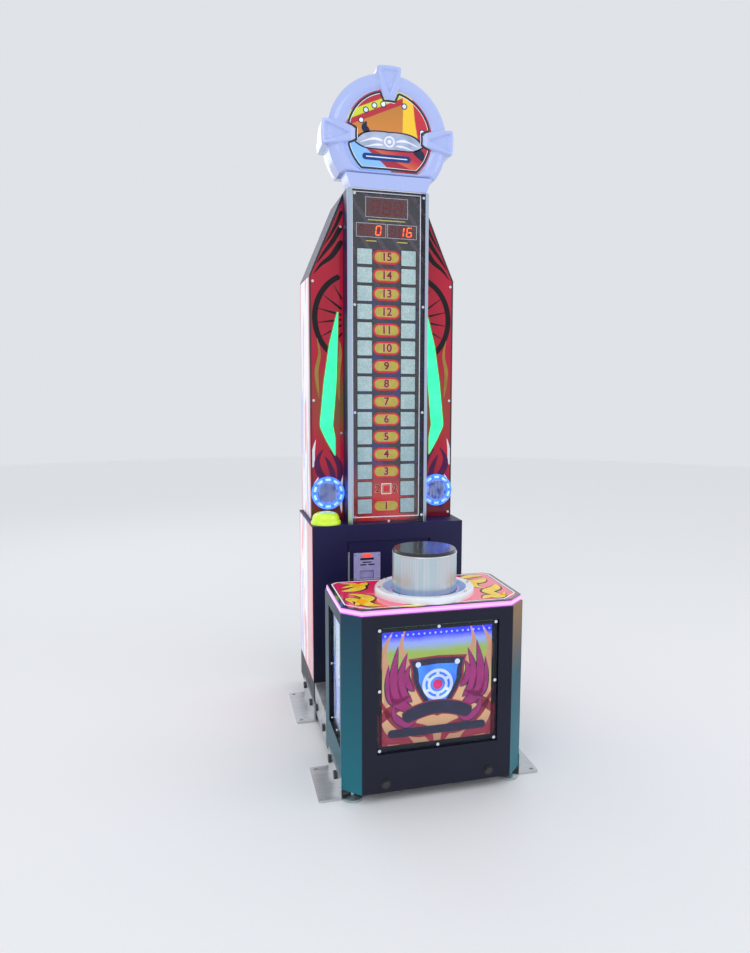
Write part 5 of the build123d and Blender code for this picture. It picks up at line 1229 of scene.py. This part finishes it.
class TESTER_OT_start_button(bpy.types.Operator):
    """Lime dome on its collar"""

    bl_idname = "tester.start_button"
    bl_label = "Start Button"

    def execute(self, context):
        dome = Finish("lime_dome")
        spot = dome.spot()
        cloud = dome.noise(spot, 40.0, 2.0)
        lime = dome.blend(cloud, (0.42, 0.66, 0.012), (0.62, 0.8, 0.035))
        dome.shine(lime, 0.5, Roughness=0.1 + cloud * 0.05, Coat_Weight=0.9, Coat_Roughness=0.03)
        paint(dome, "start_button", "start_button_bezel")
        centre = middle("start_button")
        base = high("start_button_bezel")[2] - 0.0022
        top = high("start_button")[2]
        radius = (high("start_button")[0] - low("start_button")[0]) / 2 / MM
        t = np.linspace(0, math.pi / 2, 24)
        rise = (top - base) / MM
        arch = np.stack([radius * np.cos(t) ** 0.62, rise * np.sin(t) ** 0.72], 1)
        arch[-1, 0] = 0.0
        profile = np.concatenate([[[0.0, 0.0]], arch])
        button = surfaces("start_dome", [turned_grid((centre[0], centre[1], base), (0, 0, 1), profile, 96)],
                          dome, "start_button", round_rows=True, round_columns=False,
                          smooth=True)
        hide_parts("start_button")
        return {"FINISHED"}


# ---------------------------------------------------------------- coin door
class TESTER_OT_coin_door(bpy.types.Operator):
    """Brushed coin plate with its lit reject button, flap, label bars and screws"""

    bl_idname = "tester.coin_door"
    bl_label = "Coin Door"

    def execute(self, context):
        brushed = plastic("coin_plate_brushed", (0.33, 0.3, 0.6), (0.54, 0.51, 0.82), 0.3, 0.3)
        paint(brushed, "coin_plate", "return_flap")
        lamp = Finish("reject_lamp")
        cloud = lamp.noise(lamp.spot(), 240.0, 2.0)
        red = lamp.blend(cloud, (0.75, 0.01, 0.012), (1.0, 0.1, 0.06))
        lamp.shine(red, 1.3 * sizes().lamp, Roughness=0.2, Coat_Weight=0.6)
        paint(lamp, "reject_button")

        plate_low, plate_high = low("coin_plate"), high("coin_plate")
        centre = (plate_low + plate_high) / 2
        sheet = front_sheet(centre[0], plate_low[1], centre[2])
        bars = ink("plate_bar", (0.01, 0.008, 0.03), (0.035, 0.03, 0.075))
        labels = [block(sheet, u, v, wide, tall, 0.25) for u, v, wide, tall in (
            (0, 24.0, 44, 6.5), (-12, 5.5, 20, 4.0), (14, 5.5, 20, 4.0))]
        surfaces("plate_label_bars", labels, bars, "coin_door")
        trim = metal("slot_rim_steel", (0.62, 0.62, 0.72), (0.88, 0.88, 0.94), 0.2, (200, 200, 200))
        head = [(0.0, -1.0), (2.9, -1.0), (2.9, 0.6), (2.2, 1.5), (1.2, 1.8), (1.0, 1.1), (0.0, 1.0)]
        places = [(u, v) for u in (-37, 37) for v in (-38, 38)]
        screws = [turned_grid((centre[0] + u * MM, plate_low[1], centre[2] + v * MM), (0, -1, 0), head, 24)
                  for u, v in places]
        surfaces("plate_screws", screws, trim, "coin_door", round_rows=True,
                 round_columns=False)
        return {"FINISHED"}


# ---------------------------------------------------------------- topper
def ease(value, width):
    """Smooth 0 to 1 as the value passes zero, over about the given width."""
    return 1 / (1 + np.exp(-np.clip(value / (width / 4), -30, 30)))


def bump_shape(u, v):
    """How much each point of the topper belongs to one of the three raised lugs and to its sunk facet.

    In a lug's own frame a point has a distance out from the centre and a distance aside. The lug is as
    wide as a line that grows outwards, and the facet is a smaller wedge that points inwards.
    """
    lug = np.zeros_like(u)
    facet = np.zeros_like(u)
    for degrees in (0, 90, 180):
        way = heading(degrees)
        out = u * way[0] + v * way[1]
        aside = np.abs(-u * way[1] + v * way[0])
        half = 21 + (out - 104) / 100 * 19
        lug = np.maximum(lug, ease(half - aside, 5) * ease(out - 40, 4))
        wedge = (out - 124) / 66 * 25
        facet = np.maximum(facet, ease(wedge - aside, 5) * ease(192 - out, 5) * ease(out - 122, 5))
    return lug, facet


RING_STEPS = 960
LUG_HEIGHT = 18.0         # the lugs reach this far past the round part
WINDOW_REACH = 130        # radius of the art's opening
WALL = 3.0


class TESTER_OT_topper(bpy.types.Operator):
    """Vacuum-formed topper ring with three lugs, its art panel, black rim and neck"""

    bl_idname = "tester.topper"
    bl_label = "Topper"

    def execute(self, context):
        shell = Finish("topper_gloss")
        spot = shell.spot()
        cloud = shell.noise(spot, 7.0, 3.0)
        grain = shell.noise(spot, 420.0, 2.0)
        tint = shell.blend(cloud, colours().topper, (0.44, 0.53, 0.9))
        shell.shine(tint, 0.1, Roughness=0.14 + cloud * 0.08, Coat_Weight=0.8, Coat_Roughness=0.05,
                    Normal=shell.bump(grain, 0.00004, 0.3))
        paint(shell, "topper_back", "topper_neck", "topper_shell")

        shell_low, shell_high = low("topper_shell"), high("topper_shell")
        centre_x = (shell_low[0] + shell_high[0]) / 2
        outer_reach = (shell_high[0] - shell_low[0]) / 2 / MM
        centre_z = shell_high[2] - outer_reach * MM
        base_reach = outer_reach - LUG_HEIGHT
        flat_outer = (centre_z - shell_low[2]) / MM
        flat_inner = flat_outer - 15.0
        front, back = shell_low[1], shell_high[1]
        angle = np.linspace(0, TAU, RING_STEPS, endpoint=False)
        dip = np.maximum(-np.sin(angle), 1e-6)
        circle = np.stack([np.cos(angle), np.sin(angle)], 1)
        lug_out, _ = bump_shape(circle[:, 0] * base_reach, circle[:, 1] * base_reach)
        lug_in, _ = bump_shape(circle[:, 0] * 126, circle[:, 1] * 126)
        reach_out = np.minimum(base_reach + 17.6 * lug_out, flat_outer / dip)
        reach_in = np.minimum(WINDOW_REACH - 26 * lug_in, flat_inner / dip)
        t = np.linspace(0, 1, 34)
        across = 0.5 - 0.5 * np.cos(t * math.pi)
        reach = reach_out[:, None] + (reach_in - reach_out)[:, None] * across[None]
        u = circle[:, :1] * reach
        v = circle[:, 1:] * reach
        lug, facet = bump_shape(u, v)
        tyre = 1 - np.power(np.clip(np.sin(across * math.pi * 0.86 + 0.16), 0, 1), 0.55)
        depth = tyre * (26 - 14 * lug) + 4.5 * (1 - lug) * ease(0.9 - across, 0.4) + 4.5 * facet
        depth = np.maximum(depth, 0.4)
        depth[:, -1] = 2.6
        grid = np.stack([centre_x + u * MM, front - 0.0035 * lug * (1 - facet) * ease(0.93 - across, 0.1)
                         + depth * MM, centre_z + v * MM], -1)
        wall_depths = np.linspace(back, grid[:, 0, 1].max() + 0.006, 4)

        def hoop(reach, level):
            """A closed ring of points at one depth: each direction of the circle times its own reach."""
            return np.stack([centre_x + circle[:, 0] * reach * MM, np.full(len(circle), level),
                             centre_z + circle[:, 1] * reach * MM], -1)

        wall = np.stack([hoop(reach_out, level) for level in wall_depths], 1)
        lining = np.stack([hoop(reach_out - WALL, level) for level in (front + 0.034, back)], 1)
        lip = hoop(reach_in + 1.0, front + 0.0029)[:, None]
        ring = surfaces("topper_ring", [np.concatenate([wall, grid, lip, lining], 1)], shell,
                        round_rows=True, smooth=True)
        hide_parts("topper_shell")

        rim_finish = plastic("topper_rim", (0.006, 0.006, 0.009), (0.02, 0.02, 0.026), 0.25, 0.6)
        sheet = front_sheet(centre_x, low("topper_art_panel")[1], centre_z)
        edge = circle[::3] * (reach_in[::3, None] - 2.2)
        surfaces("topper_rim", [loop_line(sheet, edge, 6.0, 0.9, 0.8)], rim_finish,
                 round_rows=True)
        inner_edge = circle[::3] * (reach_in[::3, None] - 6.2)
        surfaces("topper_rim_line", [loop_line(sheet, inner_edge, 1.6, 0.8, 0.6)],
                 ink("topper_line", (0.62, 0.66, 0.78), (0.84, 0.86, 0.94), 0.3),
                 round_rows=True)

        print_art = Finish("topper_print")
        x, _, z = print_art.place()
        spot = print_art.spot()
        wash = print_art.noise(spot, 16.0, 3.0)
        dots = print_art.cells(spot, 1200.0)
        u = (x - float(centre_x)) * 1000.0 + (wash - 0.5) * 8.0
        v = (z - float(centre_z)) * 1000.0 + (dots - 0.4) * 0.6
        orange = print_art.blend(((v + 10) / 90).clamp(), (0.6, 0.2, 0.03), (0.46, 0.18, 0.02))
        slope = v - u * 0.45
        upper = print_art.blend((slope - 78).step(3), orange, (0.42, 0.008, 0.03))
        upper = print_art.blend((slope - 96).step(3) * (118 - slope).step(3), upper, (0.55, 0.62, 0.02))
        right = print_art.blend((u - 42).step(3) * (88 - u + v * 0.15).step(3), upper, (0.82, 0.52, 0.02))
        right = print_art.blend((u - 88 + v * 0.15).step(3), right, (0.5, 0.01, 0.03))
        fall = v + u * 0.42
        lower = print_art.blend(((fall + 100) / 70).clamp(), (0.85, 0.22, 0.05), (0.42, 0.008, 0.035))
        lower = print_art.blend((-62 - fall).step(3), lower, (0.34, 0.006, 0.03))
        lower = print_art.blend((-96 - (v + u * 0.8)).step(3), lower, (0.2, 0.45, 0.9))
        mixed = print_art.blend((v + 4).step(4), lower, right)
        print_art.shine(mixed, 0.3 * sizes().lamp, Roughness=0.2, Coat_Weight=0.6, Coat_Roughness=0.05)
        paint(print_art, "topper_art_panel")

        stud_edge = ink("stud_edge", (0.01, 0.012, 0.05), (0.03, 0.035, 0.1))
        stud = ink("stud_silver", (0.5, 0.56, 0.78), (0.82, 0.86, 0.96), 0.35)
        places = [(-72, 70), (-46, 85), (-19, 91), (46, 91), (-86, 40), (102, 21)]
        surfaces("topper_stud_edges", [oval(sheet, a, b, 18, 18, 0.3) for a, b in places], stud_edge)
        surfaces("topper_studs", [oval(sheet, a, b, 12.5, 12.5, 0.5) for a, b in places], stud)
        steel = ink("emblem_silver", (0.22, 0.27, 0.4), (0.48, 0.54, 0.72), 0.3)
        pale = ink("emblem_pale", (0.55, 0.6, 0.74), (0.78, 0.82, 0.92), 0.35)
        dark = ink("emblem_dark", (0.012, 0.016, 0.045), (0.03, 0.04, 0.09), 0.1)
        t = np.linspace(-1, 1, 60)

        def winged_bar(scale, lift):
            """A bar that sags and swells: half width falls with the sixth power of the distance aside."""
            path = np.stack([t * 104 * scale, -14 - 16 * t ** 2 + 8 * np.abs(t)], 1)
            return band(sheet, path, 50 * scale ** 2 * np.clip(1 - np.abs(t) ** 5, 0, 1), lift)

        surfaces("topper_emblem_edge", [winged_bar(1.05, 0.6),
                                        flame(sheet, [(-60, 4), (-76, 20), (-70, 38)], 20, 0.6),
                                        flame(sheet, [(70, -24), (98, -46), (106, -66)], 26, 0.6)], dark)
        surfaces("topper_emblem", [winged_bar(0.98, 0.8)], steel)
        ribs = [flame(sheet, [(m * 18, -14), (m * 50, -10), (m * 92, -24)], 7, 1.0) for m in (-1, 1)]
        ribs += [flame(sheet, [(m * 18, -26), (m * 44, -27), (m * 78, -36)], 6, 1.0) for m in (-1, 1)]
        ribs += [ring_band(sheet, 0, -15, 14, 5, 1.0), oval(sheet, 0, -15, 12, 12, 1.0)]
        surfaces("topper_emblem_ribs", ribs, pale)
        plate = ink("emblem_plate", (0.006, 0.03, 0.14), (0.012, 0.06, 0.26), 0.3)
        surfaces("topper_lower_bar", [pill(sheet, -8, -62, 150, 19, 0.9)], plate)
        surfaces("topper_lower_line", [pill(sheet, -8, -62, 128, 3.0, 1.1)], pale)
        return {"FINISHED"}


# ---------------------------------------------------------------- panel and running
STEPS = (TESTER_OT_stage, TESTER_OT_cabinet, TESTER_OT_striker, TESTER_OT_table, TESTER_OT_windows,
         TESTER_OT_tower, TESTER_OT_column, TESTER_OT_speakers, TESTER_OT_start_button,
         TESTER_OT_coin_door, TESTER_OT_topper)


class TESTER_PT_panel(bpy.types.Panel):
    """Colours, sizes and making steps of the strength tester"""

    bl_idname = "TESTER_PT_panel"
    bl_label = "Strength Tester"
    bl_space_type = "VIEW_3D"
    bl_region_type = "UI"
    bl_category = "Tester"

    def draw(self, context):
        column = self.layout.column()
        for group in (colours(), sizes()):
            for name in type(group).__annotations__:
                column.prop(group, name)
        for step in STEPS:
            column.operator(step.bl_idname)


CLASSES = (TesterColours, TesterSizes, *STEPS, TESTER_PT_panel)


def register():
    """Add the classes and the scene's settings."""
    for entry in CLASSES:
        bpy.utils.register_class(entry)
    bpy.types.Scene.tester_colours = PointerProperty(type=TesterColours)
    bpy.types.Scene.tester_sizes = PointerProperty(type=TesterSizes)


def unregister():
    """Take the settings and the classes away again."""
    del bpy.types.Scene.tester_sizes
    del bpy.types.Scene.tester_colours
    for entry in reversed(CLASSES):
        bpy.utils.unregister_class(entry)


def main():
    """Make everything in order."""
    register()
    for step in STEPS:
        group, name = step.bl_idname.split(".")
        getattr(getattr(bpy.ops, group), name)()


if __name__ == "__main__":
    main()
